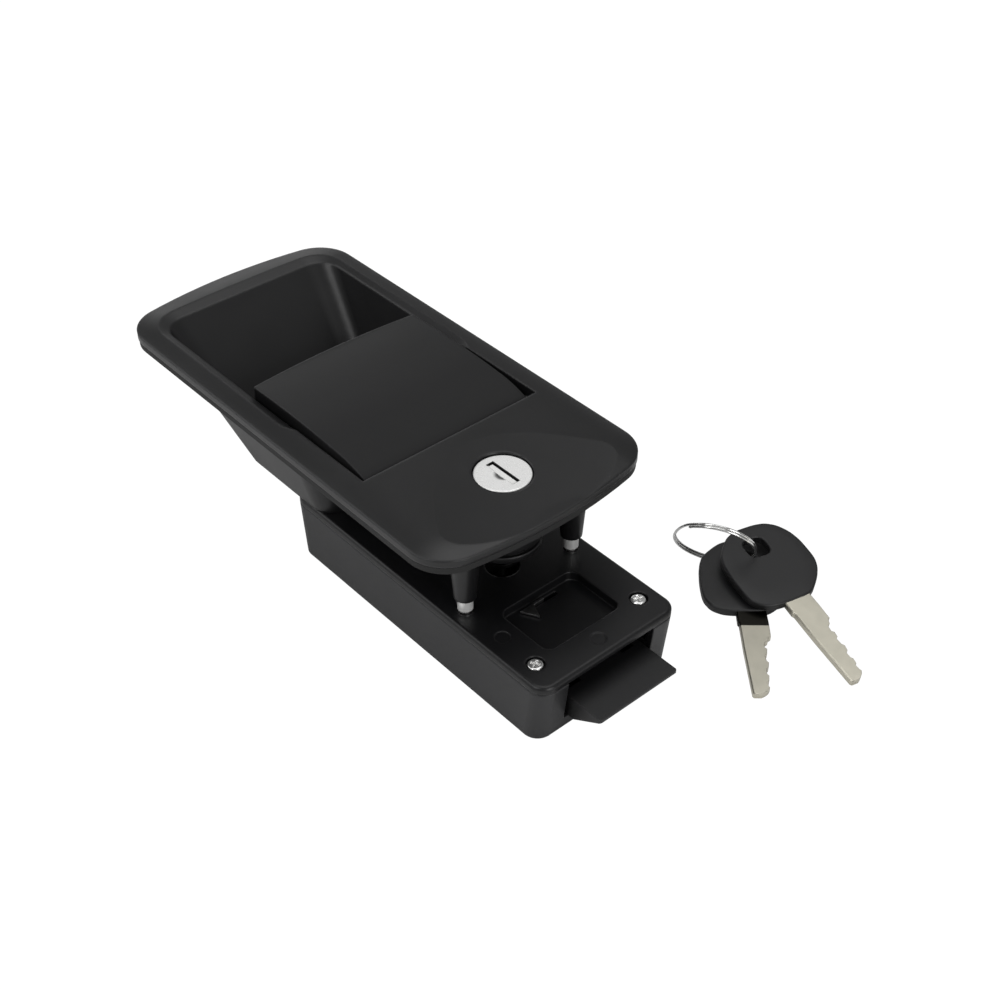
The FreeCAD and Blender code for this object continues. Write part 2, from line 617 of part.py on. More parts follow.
def make_key_plug():
    cap = rod(FACE_R, FACE_Z - FACE_T, FACE_Z)
    cap = cap.makeFillet(0.5, [e for e in cap.Edges if abs(e.CenterOfMass.z - FACE_Z) < 0.01])
    barrel = rod(PLUG_R, COLLAR_Z - 1.6, FACE_Z - FACE_T)
    tail = rod(PLUG_TAIL_R, PLUG_TAIL_END, COLLAR_Z - 1.6)
    shape = fuse_all([cap, barrel, tail])
    slots = [box(-WAFER_L / 2 - FIT, WAFER_L / 2 + FIT, -WAFER_W / 2 - FIT, WAFER_W / 2 + FIT, z - FIT, z + WAFER_T + FIT)
             for z in wafer_heights()]
    flap_room = box(-KEYWAY_L / 2, KEYWAY_L / 2, -FLAP_ROOM_W, KEYWAY_W / 2, FACE_Z - 4.4, FACE_Z - 0.9)
    scoop = Part.makeSphere(SCOOP_R, V(SCOOP_X, 0.0, FACE_Z + SCOOP_UP))
    scoop = scoop.common(box(-FACE_R, FACE_R, -FACE_R, -KEYWAY_W / 2 + 0.05, FACE_Z - 1.0, FACE_Z + 1.0))
    z0 = COLLAR_Z - 0.85
    ring_groove = rod(PLUG_R + 1.0, z0, z0 + 0.6).cut(rod(PLUG_R - 0.6, z0, z0 + 0.6))
    screw_hole = rod(TAIL_SCREW_R, PLUG_TAIL_END - 1.0, PLUG_TAIL_END + 6.0)
    return cut_all(shape, [keyway(COLLAR_Z + 2.0, FACE_Z + 1.0), flap_room, scoop, ring_groove, screw_hole] + slots)


def make_plug_ring():
    """Snap ring in the plug's groove, which holds the plug down in the sleeve."""
    z0 = COLLAR_Z - 0.8
    ring = rod(PLUG_R + 1.0, z0, z0 + 0.5).cut(rod(PLUG_R - 0.55, z0 - 1.0, z0 + 1.0))
    return ring.cut(box(-2.0, 2.0, PLUG_R - 3.0, PLUG_R + 2.0, z0 - 1.0, z0 + 1.0))


def make_wafers():
    plates = []
    for z in wafer_heights():
        plate = box(-WAFER_L / 2, WAFER_L / 2, -WAFER_W / 2, WAFER_W / 2, z, z + WAFER_T)
        plates.append(plate.cut(box(-KEYWAY_L / 2 + 0.8, KEYWAY_L / 2 - 0.8, -KEYWAY_W / 2 - 0.1, KEYWAY_W / 2 + 0.1,
                                    z - 1.0, z + WAFER_T + 1.0)))
    return plates


def make_keyway_shutter():
    """Dust flap that closes the keyway and folds inwards about its edge on -Y."""
    flap = box(-KEYWAY_L / 2 + FLAP_SLIT, KEYWAY_L / 2 - FIT, -KEYWAY_W / 2 + FIT, KEYWAY_W / 2 - FLAP_SLIT,
               FLAP_Z, FLAP_Z + FLAP_T)
    knuckle = rod_x(FLAP_HINGE_R, -KEYWAY_L / 2 + FIT, KEYWAY_L / 2 - FIT, FLAP_Y, FLAP_HINGE_Z)
    return fuse_all([flap, knuckle])


def make_plug_tail():
    """Steel tail screwed under the plug: a washer with one finger bent down beside it."""
    disc = rod(PLUG_TAIL_R + 1.4, PLUG_TAIL_END - TAIL_T, PLUG_TAIL_END)
    angle = math.radians(-45.0)
    x = FINGER_ORBIT * math.cos(angle)
    y = FINGER_ORBIT * math.sin(angle)
    finger = rod(FINGER_R, LOCK_SLIDE_Z + 0.2, PLUG_TAIL_END - TAIL_T / 2, x, y)
    return fuse_all([disc, finger]).cut(rod(TAIL_SCREW_R + 0.05, 0.0, PLUG_TAIL_END + 1.0))


def make_tail_screw():
    head = rod(TAIL_SCREW_HEAD_R, PLUG_TAIL_END - TAIL_T - 1.4, PLUG_TAIL_END - TAIL_T)
    shank = rod(TAIL_SCREW_R - 0.02, PLUG_TAIL_END - TAIL_T, PLUG_TAIL_END + 5.5)
    return fuse_all([head, shank])


# Inside housing

def housing_section(inset, z):
    """Outline of the housing at one height: its two ends lean in downwards."""
    lean = END_DRAFT * (HOUSING_H - z) / HOUSING_H
    half = HOUSING_W / 2 - inset
    return rounded_rect(HOUSING_X0 + lean + inset, HOUSING_X1 - lean - inset, -half, half, CORNER_R - inset, z)


def tapered_shell(inset, z0, z1):
    return Part.makeLoft([housing_section(inset, z0), housing_section(inset, z1)], True, True)


def lever_dish(grow, z0, z1):
    half = LEVER_BOX_W / 2 - LEVER_BOX_WALL + grow
    return rounded_block(LEVER_BOX_X0 + LEVER_BOX_WALL - grow, LEVER_BOX_X1 - LEVER_BOX_WALL + grow, -half, half,
                         4.0 + grow, z0, z1)


def make_housing():
    joint_z = HOUSING_H - PARTING
    shell = tapered_shell(0.0, 0.0, joint_z)
    shell = shell.makeFillet(0.8, [e for e in shell.Edges if abs(e.CenterOfMass.z) < 0.01])
    shell = shell.fuse(Part.makeLoft([housing_section(0.0, joint_z), housing_section(PARTING, HOUSING_H)], True, True))
    shell = shell.cut(tapered_shell(WALL, WALL, HOUSING_H + 1.0))
    inner_w = HOUSING_W / 2 - WALL
    solids = [shell, lever_dish(LEVER_BOX_WALL, 0.4, LEVER_BOX_H)]
    solids += [rod(SCREW_POST_R, WALL / 2, HOUSING_H, BOSS_X, s * BOSS_Y) for s in (-1, 1)]
    solids += [rod(COVER_POST_R, WALL / 2, HOUSING_H, COVER_SCREW_X, s * COVER_SCREW_Y) for s in (-1, 1)]
    for s in (-1, 1):
        guide = sorted((s * (BOLT_W / 2 + GAP), s * (BOLT_W / 2 + GAP + 1.5)))
        solids.append(box(RECESS_X0, HOUSING_X1 - WALL, guide[0], guide[1], WALL / 2, BOLT_TOP))
        rail = sorted((s * 10.5, s * 13.0))
        solids.append(box(7.0, HOUSING_X1 - WALL, rail[0], rail[1], WALL / 2, BOLT_Z0 - GAP))
        stop = sorted((s * 13.0, s * 15.5))
        solids.append(box(STOP_X, STOP_X + 1.6, stop[0], stop[1], WALL / 2, RETRACTOR_Z0))
        web = sorted((s * (LEVER_BOX_W / 2 - 0.5), s * (inner_w + 0.5)))
        for x in WEB_XS:
            solids.append(box(x, x + WEB_T, web[0], web[1], WALL / 2, 8.0))
    solids.append(rod_x(SPRING_POST_R, HOUSING_X0 + WALL / 2 + 0.6, HOUSING_X0 + WALL + 4.0, 0.0, RETRACTOR_SPRING_Z))
    solids.append(rounded_block(SNIB_X - 8.0, SNIB_X + SNIB_TRAVEL + 8.0, -7.5, 7.5, 2.0, WALL / 2, SNIB_PAD_Z))
    shape = fuse_all(solids)
    half_slot = BOLT_SLOT_W / 2
    tools = [
        lever_dish(0.0, -1.0, LEVER_BOX_H - LEVER_BOX_WALL),
        box(LEVER_X - 11.0, LEVER_X + 2.5, -4.0, 4.0, 0.0, LEVER_BOX_H + 1.0),
        box(HOUSING_X1 - 2 * WALL - END_DRAFT, HOUSING_X1 + 1.0, -half_slot, half_slot, BOLT_Z0 - GAP, HOUSING_H + 1.0),
        rod_y(LEVER_PIN_R, -LEVER_BOX_W / 2 + 0.4, LEVER_BOX_W / 2 - 0.4, LEVER_X, LEVER_PIN_Z),
        rounded_block(SNIB_X - SNIB_L / 2 - 0.6, SNIB_X + SNIB_TRAVEL + SNIB_L / 2 + 0.6, -SNIB_W / 2 - 0.4,
                      SNIB_W / 2 + 0.4, 2.0, -1.0, SNIB_RECESS),
        box(SNIB_X - 1.8, SNIB_X + SNIB_TRAVEL + 1.8, -1.8, 1.8, -1.0, SNIB_PAD_Z + 1.0),
    ]
    for s in (-1, 1):
        y = s * BOSS_Y
        tools.append(rod(SCREW_R + 0.15, -1.0, HOUSING_H + 1.0, BOSS_X, y))
        tools.append(rod(SCREW_HEAD_R + 0.2, -1.0, SCREW_HEAD_T + 0.6, BOSS_X, y))
        tools.append(rod(COVER_SCREW_R, 6.0, HOUSING_H + 1.0, COVER_SCREW_X, s * COVER_SCREW_Y))
    return cut_all(shape, tools)


def make_cover_plate():
    half = HOUSING_W / 2
    body = rounded_block(HOUSING_X0, HOUSING_X1, -half, half, CORNER_R, HOUSING_H, COVER_TOP)
    top_edges = [e for e in body.Edges if abs(e.CenterOfMass.z - COVER_TOP) < 0.01]
    body = body.makeFillet(COVER_EDGE_R, top_edges)
    body = body.makeChamfer(PARTING, [e for e in body.Edges if abs(e.CenterOfMass.z - HOUSING_H) < 0.01])
    half_r = RECESS_W / 2
    pan = rounded_block(RECESS_X0 - RECESS_WALL, RECESS_X1 + RECESS_WALL, -half_r - RECESS_WALL, half_r + RECESS_WALL,
                        3.0 + RECESS_WALL, RECESS_Z - RECESS_WALL, COVER_TOP - 1.0)
    lip_half = HOUSING_W / 2 - WALL - FIT
    lip = rounded_block(HOUSING_X0 + WALL + END_DRAFT / 4 + FIT, LIP_X1, -lip_half, lip_half, CORNER_R - WALL,
                        HOUSING_H - 1.6, HOUSING_H + 0.4)
    lip = lip.cut(rounded_block(HOUSING_X0 + 2 * WALL, 0.0, -lip_half + 1.8, lip_half - 1.8, 2.0, 0.0, HOUSING_H))
    slot_y0 = LOCK_SLIDE_Y0 - GAP
    slot_y1 = LOCK_SLIDE_Y1 + LOCK_SHIFT + GAP
    guide = box(GUIDE_X0, GUIDE_X1, slot_y0 - GUIDE_WALL, slot_y1 + GUIDE_WALL, STRAP_Z, HOUSING_H + 0.4)
    guide = guide.cut(box(GUIDE_X0 - 1.0, GUIDE_X1 + 1.0, slot_y0, slot_y1, LOCK_SLIDE_Z - GAP,
                          LOCK_SLIDE_Z + LOCK_SLIDE_T + GAP))
    shape = fuse_all([body, pan, lip, guide])
    tools = [
        rounded_block(RECESS_X0, RECESS_X1, -half_r, half_r, 3.0, RECESS_Z, COVER_TOP + 1.0),
        rounded_block(ARM_HOLE_X0, ARM_HOLE_X1, -5.0, 5.0, 2.0, HOUSING_H - 1.0, COVER_TOP + 1.0),
        rod(FINGER_ORBIT + FINGER_R + GAP, HOUSING_H - 1.0, COVER_TOP + 1.0),
        box(TAB_X - GAP, TAB_X + TAB_T + GAP, TAB_Y0 - GAP, TAB_Y1 + LOCK_SHIFT + GAP, 0.0, COVER_TOP + 1.0),
    ]
    tools += [rod(MARK_R, COVER_TOP - MARK_DEPTH, COVER_TOP + 1.0, x, y) for x, y in MARKS]
    for s in (-1, 1):
        tools.append(rod(SCREW_R + 0.25, HOUSING_H - 1.0, COVER_TOP + 1.0, BOSS_X, s * BOSS_Y))
        tools.append(rod(COVER_SCREW_R + 0.2, HOUSING_H - 1.0, COVER_TOP + 1.0, COVER_SCREW_X, s * COVER_SCREW_Y))
        tools.append(rod(COVER_SCREW_HEAD_R + 0.6, COVER_TOP - COVER_SCREW_HEAD_T, COVER_TOP + 1.0, COVER_SCREW_X,
                         s * COVER_SCREW_Y))
    return cut_all(shape, tools)


def make_cover_screws():
    screws = []
    for s in (-1, 1):
        y = s * COVER_SCREW_Y
        head = rod(COVER_SCREW_HEAD_R, COVER_TOP - COVER_SCREW_HEAD_T, COVER_TOP, COVER_SCREW_X, y)
        screws.append(head.fuse(rod(COVER_SCREW_R - 0.02, 7.0, COVER_TOP - COVER_SCREW_HEAD_T, COVER_SCREW_X, y)))
    return screws


def make_fixing_screws():
    screws = []
    for s in (-1, 1):
        y = s * BOSS_Y
        head = rod(SCREW_HEAD_R, 0.6, SCREW_HEAD_T + 0.6, BOSS_X, y)
        screws.append(head.fuse(rod(SCREW_R, SCREW_HEAD_T + 0.6, COVER_TOP + STUD_GAP + 12.0, BOSS_X, y)))
    return screws


def make_boss_studs():
    studs = []
    for s in (-1, 1):
        y = s * BOSS_Y
        body = rod(STUD_R, COVER_TOP + STUD_GAP, BOSS_TIP_Z + STUD_GRIP, BOSS_X, y)
        body = body.makeChamfer(0.3, [e for e in body.Edges if abs(e.CenterOfMass.z - COVER_TOP - STUD_GAP) < 0.01])
        studs.append(body.cut(rod(SCREW_R + 0.03, COVER_TOP, COVER_TOP + STUD_GAP + 13.0, BOSS_X, y)))
    return studs


# Latch

def make_slam_bolt():
    half = BOLT_W / 2
    block_x = BOLT_TAIL_X + 10.2
    nose = polygon_prism_y([
        (block_x, BOLT_Z0), (BOLT_BEVEL_X, BOLT_Z0), (BOLT_TIP_X, BOLT_TOP - BOLT_LIP), (BOLT_TIP_X, BOLT_TOP),
        (block_x, BOLT_TOP),
    ], -half, half)
    corner = rounded_block(BOLT_TAIL_X, BOLT_TIP_X, -half, half, BOLT_CORNER_R, BOLT_Z0 - 1.0, BOLT_TOP + 1.0)
    nose = nose.common(corner.fuse(box(BOLT_TAIL_X, BOLT_TIP_X - 5.0, -half, half, BOLT_Z0 - 1.0, BOLT_TOP + 1.0)))
    tail_half = BOLT_TAIL_W / 2
    tail = box(BOLT_TAIL_X, block_x + 0.5, -tail_half, tail_half, BOLT_Z0, BOLT_TOP)
    shape = fuse_all([nose, tail])
    tools = [rod_x(SPRING_R + 0.4, BOLT_TAIL_X - 1.0, BOLT_TAIL_X + BOLT_BORE, 0.0, BOLT_SPRING_Z)]
    for s in (-1, 1):
        slot = sorted((s * (HOOK_Y - GAP), s * (BAR_HALF + GAP)))
        tools.append(box(HOOK_X0 - GAP, HOOK_X1 + BOLT_TRAVEL + GAP, slot[0], slot[1], BAR_Z0 - GAP, BOLT_TOP + 1.0))
    return cut_all(shape, tools)


def make_bolt_spring():
    x0 = SEAT_X1 + FIT
    length = BOLT_TAIL_X + BOLT_BORE - FIT - x0
    return helix_spring(SPRING_R - SPRING_WIRE_R, SPRING_WIRE_R, 9, (x0, 0, BOLT_SPRING_Z), X_AXIS, length)


def make_retractor():
    """Carriage over the inside lever's dish, with two hooked bars that draw the bolt."""
    half = RETRACTOR_W / 2
    top = RETRACTOR_Z0 + RETRACTOR_T
    seat_x0 = SEAT_X1 - SEAT_T
    parts = [
        box(RETRACTOR_X0, SEAT_X1, -half, half, RETRACTOR_Z0, top),
        box(seat_x0, SEAT_X1, -half, half, SEAT_Z0, top),
        box(seat_x0, SEAT_X1, -EAR_Y, EAR_Y, SEAT_Z0 + 1.0, top),
        box(RETRACTOR_X0, RETRACTOR_X0 + 2.0, -5.0, 5.0, RETRACTOR_Z0, RETRACTOR_SPRING_Z + SPRING_R + 0.2),
        rod_x(SPRING_POST_R, RETRACTOR_X0 - 3.0, RETRACTOR_X0 + 1.0, 0.0, RETRACTOR_SPRING_Z),
        rod_x(SPRING_POST_R, SEAT_X1 - 1.0, SEAT_X1 + 3.0, 0.0, BOLT_SPRING_Z),
    ]
    for s in (-1, 1):
        side = sorted((s * (half - 1.8), s * half))
        parts.append(box(RETRACTOR_X0, seat_x0 - 12.0, side[0], side[1], RETRACTOR_Z0, RIB_TOP - RIB_T))
        bar = sorted((s * (BAR_HALF - BAR_T), s * BAR_HALF))
        parts.append(box(seat_x0, HOOK_X1, bar[0], bar[1], BAR_Z0, BOLT_TOP))
        hook = sorted((s * HOOK_Y, s * BAR_HALF))
        parts.append(box(HOOK_X0, HOOK_X1, hook[0], hook[1], BAR_Z0, BOLT_TOP))
    for face_x in RIB_FACES:
        parts.append(box(face_x - RIB_T, face_x, -half, half, RETRACTOR_Z0, RIB_TOP))
    window = box(RIB_FACES[1], LEVER_BOX_X1, -5.0, 5.0, RETRACTOR_Z0 - 1.0, top + 1.0)
    return fuse_all(parts).cut(window)


def make_retractor_spring():
    x0 = HOUSING_X0 + WALL + 1.4
    length = RETRACTOR_X0 - FIT - x0
    return helix_spring(SPRING_R - SPRING_WIRE_R, SPRING_WIRE_R, 8, (x0, 0, RETRACTOR_SPRING_Z), X_AXIS, length)


def make_lock_slide():
    """Steel strip that the key shifts sideways, with a bar and pointer that stand in the cover's recess."""
    z1 = LOCK_SLIDE_Z + LOCK_SLIDE_T
    strip = rounded_block(LOCK_SLIDE_X0, TAB_X + TAB_T + 1.0, LOCK_SLIDE_Y0, LOCK_SLIDE_Y1, 1.0, LOCK_SLIDE_Z, z1)
    tab = box(TAB_X, TAB_X + TAB_T, TAB_Y0, TAB_Y1, LOCK_SLIDE_Z, TAB_Z)
    corners = [V(x, y, RECESS_Z + GAP) for x, y in POINTER]
    pointer = Part.Face(Part.makePolygon(corners + corners[:1])).extrude(V(0, 0, POINTER_T))
    x = FINGER_ORBIT * math.cos(math.pi / 4)
    slot = rounded_block(x - FINGER_R - 0.5, FINGER_ORBIT + FINGER_R + 0.6, -x - FINGER_R - 0.3, -x + FINGER_R + 0.3,
                         1.2, 0.0, z1 + 1.0)
    return fuse_all([strip, tab, pointer]).cut(slot)


# Inside controls

def make_inside_lever():
    half = LEVER_W / 2
    z0 = 0.5
    plate = rounded_block(LEVER_FREE_X, LEVER_X + 3.0, -half, half, 3.0, z0, z0 + 2.2)
    grip = rod_y(1.5, -half + 3.0, half - 3.0, LEVER_FREE_X + 1.6, z0 + 2.2)
    hub = rod_y(3.2, -half, half, LEVER_X, LEVER_PIN_Z)
    arm = box(LEVER_X - LEVER_ARM_R, LEVER_X + LEVER_ARM_R, -3.0, 3.0, LEVER_PIN_Z, LEVER_TIP_Z)
    tip = rod_y(LEVER_ARM_R, -3.0, 3.0, LEVER_X, LEVER_TIP_Z)
    shape = fuse_all([plate, grip, hub, arm, tip])
    spring_room = box(LEVER_X - 4.0, LEVER_X + 4.0, 5.0, 11.0, LEVER_PIN_Z - SMALL_SPRING_R - 0.15, LEVER_BOX_H)
    return cut_all(shape, [rod_y(LEVER_PIN_R + RUN, -half - 1.0, half + 1.0, LEVER_X, LEVER_PIN_Z), spring_room])


def make_lever_pin():
    return rod_y(LEVER_PIN_R, -LEVER_BOX_W / 2 + 0.5, LEVER_BOX_W / 2 - 0.5, LEVER_X, LEVER_PIN_Z)


def make_lever_spring():
    return helix_spring(SMALL_SPRING_R - SMALL_WIRE_R, SMALL_WIRE_R, 5, (LEVER_X, 5.4, LEVER_PIN_Z), Y_AXIS, 5.2)


def make_snib():
    knob = rounded_block(SNIB_X - SNIB_L / 2, SNIB_X + SNIB_L / 2, -SNIB_W / 2, SNIB_W / 2, 1.8, 0.3, SNIB_RECESS - 0.2)
    stem = box(SNIB_X - 1.4, SNIB_X + 1.4, -1.4, 1.4, 1.0, SNIB_PAD_Z + GAP + 0.2)
    foot = box(SNIB_X - 1.4, SNIB_X + 1.4, -4.0, 4.0, SNIB_PAD_Z + GAP, SNIB_PAD_Z + GAP + 0.5)
    shape = fuse_all([knob, stem, foot])
    grooves = [box(SNIB_X + x - 0.4, SNIB_X + x + 0.4, -SNIB_W, SNIB_W, -1.0, 0.7) for x in (-2.0, 0.0, 2.0)]
    return cut_all(shape, grooves)


# Keys

def key_head_outline(z):
    """Moulded bow: round at the ring's end, straighter where the blade leaves it."""
    half_l = KEY_HEAD_L / 2
    half_w = KEY_HEAD_W / 2
    far = [(x * half_l, y * half_w, z) for x, y in KEY_BOW]
    near = [(x, -y, z) for x, y, z in far]
    return Part.Face(Part.Wire([
        arc(near[0], (-half_l, 0.0, z), far[0]),
        arc(far[0], far[1], far[2]),
        arc(far[2], far[3], far[4]),
        arc(far[4], (half_l, 0.0, z), near[4]),
        arc(near[4], near[3], near[2]),
        arc(near[2], near[1], near[0]),
    ]))


def make_key_head():
    body = key_head_outline(0.0).extrude(V(0, 0, KEY_HEAD_T))
    rims = [e for e in body.Edges if abs(e.CenterOfMass.z) < 0.01 or abs(e.CenterOfMass.z - KEY_HEAD_T) < 0.01]
    body = body.makeFillet(KEY_HEAD_EDGE, rims)
    half_l = KEY_HOLE_L / 2
    half_w = KEY_HOLE_W / 2
    hole = rounded_block(KEY_HOLE_X - half_w, KEY_HOLE_X + half_w, -half_l, half_l, half_w - 0.05, -1.0, KEY_HEAD_T + 1.0)
    return cut_all(body, [hole, key_blade_blank()])


def key_blade_blank():
    """Flat blank: a tang inside the head, a wide shoulder and the narrower blade."""
    half = KEY_BLADE_W / 2
    wide = KEY_SHOULDER_W / 2
    x1 = KEY_HEAD_L / 2 + KEY_SHOULDER_L
    tip = KEY_TIP_X - KEY_POINT
    z0 = (KEY_HEAD_T - KEY_BLADE_T) / 2
    half_outline = [(KEY_TANG_X, wide), (x1, wide), (x1 + 0.8, half), (tip, half), (KEY_TIP_X, half - KEY_POINT)]
    outline = half_outline + [(x, -y) for x, y in reversed(half_outline)]
    corners = [V(x, y, z0) for x, y in outline]
    return Part.Face(Part.makePolygon(corners + corners[:1])).extrude(V(0, 0, KEY_BLADE_T))


def make_key_blade():
    half = KEY_BLADE_W / 2
    groove_x0 = KEY_HEAD_L / 2 + 2.0
    z_top = (KEY_HEAD_T + KEY_BLADE_T) / 2
    cuts = [box(groove_x0, KEY_TIP_X + 1.0, 1.4 - half, 2.5 - half, z_top - KEY_GROOVE, z_top + 1.0),
            box(groove_x0, KEY_TIP_X + 1.0, 3.4 - half, 4.5 - half, z_top - KEY_BLADE_T - 1.0, z_top - KEY_BLADE_T + KEY_GROOVE)]
    for i, depth in enumerate(KEY_CUTS):
        x = KEY_TIP_X - 5.0 - i * KEY_CUT_PITCH
        run = KEY_CUT_FLAT / 2 + depth
        corners = [V(x - run, half + 0.01, 0), V(x - run + depth, half - depth, 0), V(x + run - depth, half - depth, 0),
                   V(x + run, half + 0.01, 0)]
        cuts.append(Part.Face(Part.makePolygon(corners + corners[:1])).extrude(V(0, 0, KEY_HEAD_T)))
    return cut_all(key_blade_blank(), cuts)


def place_key(shape, spec):
    """Tilt a key with its tip on the bench, turn it and put the middle of its head over its place."""
    shape = shape.copy()
    shape.rotate(V(0, 0, 0), Y_AXIS, spec["tilt"])
    shape.rotate(V(0, 0, 0), Z_AXIS, spec["turn"])
    shape.translate(V(spec["x"], spec["y"], spec["z"]))
    return shape


def make_split_ring():
    """Two turns of wire, side by side, tilted through both key holes."""
    axis = V(*RING_AXIS)
    axis.normalize()
    turns = [Part.makeTorus(RING_R, RING_WIRE_R, V(*RING_AT) + axis * (s * RING_WIRE_R * 0.96), axis) for s in (-1, 1)]
    return fuse_all(turns)


SIDES = ("near", "far")

export("outer_plate", make_outer_plate())
export("gasket", make_gasket())
export("outer_paddle", make_outer_paddle())
export("paddle_pin", make_paddle_pin())
export("paddle_arm", make_paddle_arm())
export("paddle_spring", make_paddle_spring())
export("cylinder_sleeve", make_cylinder_sleeve())
export("cylinder_clip", make_cylinder_clip())
export("key_plug", make_key_plug())
export("plug_ring", make_plug_ring())
export("keyway_shutter", make_keyway_shutter())
export("plug_tail", make_plug_tail())
export("tail_screw", make_tail_screw())
export("housing", make_housing())
export("cover_plate", make_cover_plate())
export("slam_bolt", make_slam_bolt())
export("bolt_spring", make_bolt_spring())
export("retractor", make_retractor())
export("retractor_spring", make_retractor_spring())
export("lock_slide", make_lock_slide())
export("inside_lever", make_inside_lever())
export("lever_pin", make_lever_pin())
export("lever_spring", make_lever_spring())
export("snib", make_snib())
export("split_ring", make_split_ring())
for i, wafer in enumerate(make_wafers()):
    export("wafer_" + str(i + 1), wafer)
for i, rivet in enumerate(make_arm_rivets()):
    export("arm_rivet_" + str(i + 1), rivet)
for side, stud, long_screw, short_screw in zip(SIDES, make_boss_studs(), make_fixing_screws(), make_cover_screws()):
    export(side + "_stud", stud)
    export(side + "_fixing_screw", long_screw)
    export(side + "_cover_screw", short_screw)
for name, place in KEYS.items():
    export(name + "_key_head", place_key(make_key_head(), place))
    export(name + "_key_blade", place_key(make_key_blade(), place))
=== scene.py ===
# %% [markdown]
# # A paddle-handle door lock with its keys
# The lock holds a motorhome's door shut: a paddle outside or a lever inside draws back its slam
# bolt. Its parts come packed from CAD, and this lesson dresses them with the camera of the
# photograph, a studio, one finish for each material, and a few small pieces whose shape is easier
# to compute than to draw in CAD: the split ring, two screws and the keys.
# Loading the frame comes first. Its box is kept, because the dressed lock has to stay inside it.

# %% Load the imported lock
import math

import bpy
import numpy as np
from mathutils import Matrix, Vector


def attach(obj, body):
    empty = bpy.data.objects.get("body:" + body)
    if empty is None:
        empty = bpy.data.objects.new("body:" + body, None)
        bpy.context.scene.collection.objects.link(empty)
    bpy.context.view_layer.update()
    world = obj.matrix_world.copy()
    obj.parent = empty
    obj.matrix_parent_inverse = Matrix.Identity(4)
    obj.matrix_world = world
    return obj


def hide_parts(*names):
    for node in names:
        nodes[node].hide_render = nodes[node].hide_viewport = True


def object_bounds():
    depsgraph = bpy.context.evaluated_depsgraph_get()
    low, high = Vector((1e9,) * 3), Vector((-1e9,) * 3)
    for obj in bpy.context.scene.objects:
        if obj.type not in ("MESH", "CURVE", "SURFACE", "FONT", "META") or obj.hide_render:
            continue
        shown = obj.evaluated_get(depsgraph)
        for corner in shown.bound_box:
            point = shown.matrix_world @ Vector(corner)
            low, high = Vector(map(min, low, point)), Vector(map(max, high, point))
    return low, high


MM = 0.001

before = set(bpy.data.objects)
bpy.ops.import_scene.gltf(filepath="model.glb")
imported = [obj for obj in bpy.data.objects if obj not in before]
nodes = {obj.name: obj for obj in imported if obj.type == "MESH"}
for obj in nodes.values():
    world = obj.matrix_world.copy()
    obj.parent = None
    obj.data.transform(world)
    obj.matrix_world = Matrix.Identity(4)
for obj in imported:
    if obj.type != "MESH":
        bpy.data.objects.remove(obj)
cad_low, cad_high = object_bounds()
scene = bpy.context.scene
scene.view_settings.view_transform = "Standard"
print("CAD pieces:", len(nodes), "size in mm:", [round(v / MM, 1) for v in (cad_high - cad_low)])

# %% [markdown]
# ## The camera
# A camera could be placed by eye, but edges that are parallel on the lock meet at vanishing points
# in the photograph, and those fix its angles and its lens. The numbers below come from such a fit:
# a turn and a height in degrees, the point that the lens looks at, and how far away it stands.

# %% Set the camera
CAMERA_TURN = 48.89
CAMERA_HEIGHT = 39.10
CAMERA_TARGET = Vector((5.37, -7.52, 55.2)) * MM
CAMERA_DISTANCE = 428.89 * MM
FOCAL_PX = 1565.89                           # focal length, in pixels of the photograph
IMAGE_PX = 990                               # width and height of the photograph
SENSOR_MM = 36.0
NEAREST_SEEN, FARTHEST_SEEN = 0.01, 20.0     # in metres


def add_camera():
    """Stands on a sphere round the target: the turn is its longitude and the height its latitude."""
    turn, height = math.radians(CAMERA_TURN), math.radians(CAMERA_HEIGHT)
    back = Vector((math.sin(turn) * math.cos(height), -math.cos(turn) * math.cos(height), math.sin(height)))
    lens = bpy.data.cameras.new("photo_camera")
    lens.sensor_width = SENSOR_MM
    lens.lens = FOCAL_PX * SENSOR_MM / IMAGE_PX
    lens.clip_start, lens.clip_end = NEAREST_SEEN, FARTHEST_SEEN
    camera = bpy.data.objects.new("photo_camera", lens)
    scene.collection.objects.link(camera)
    camera.location = CAMERA_TARGET + back * CAMERA_DISTANCE
    camera.rotation_mode = "QUATERNION"
    camera.rotation_quaternion = (-back).to_track_quat("-Z", "Y")
    scene.camera = camera
    return camera


camera = add_camera()
print("camera at", [round(v, 3) for v in camera.location], "lens", round(camera.data.lens, 2), "mm")

# %% [markdown]
# ## Small helpers for shader nodes
# Floor, sky and finishes are all made of shader nodes. Each node could be made, set and linked line
# by line, but then the values drown in the wiring, so three short functions do the wiring.


# %% Node helpers
def feed(tree, socket, value):
    """Gives an input its value: the output of another node is linked, and anything else is set."""
    if isinstance(value, bpy.types.NodeSocket):
        tree.links.new(value, socket)
    else:
        socket.default_value = value


def add_node(tree, kind, group=None, **values):
    """One node, each input fed by name; a Group node is given its node group first."""
    node = tree.nodes.new(kind)
    if group:
        node.node_tree = group
    for name, value in values.items():
        feed(tree, node.inputs[name.replace("_", " ")], value)
    return node


def add_math(tree, operation, a, b=0.0, clamp=False):
    """The result of one Math node; a and b are outputs of other nodes or numbers."""
    node = tree.nodes.new("ShaderNodeMath")
    node.operation = operation
    node.use_clamp = clamp
    feed(tree, node.inputs[0], a)
    feed(tree, node.inputs[1], b)
    return node.outputs[0]


print("node helpers: feed, add_node, add_math")

# %% [markdown]
# ## Floor and sky
# The photograph stands on plain white with hardly a shadow. A white plane under a white sky would
# give that too, but it would light black plastic until it looks grey. So the kind of ray decides:
# the camera sees floor and sky as plain white, and the light that they send onto the lock stays
# low. The floor lets a small share of the real shadow through.

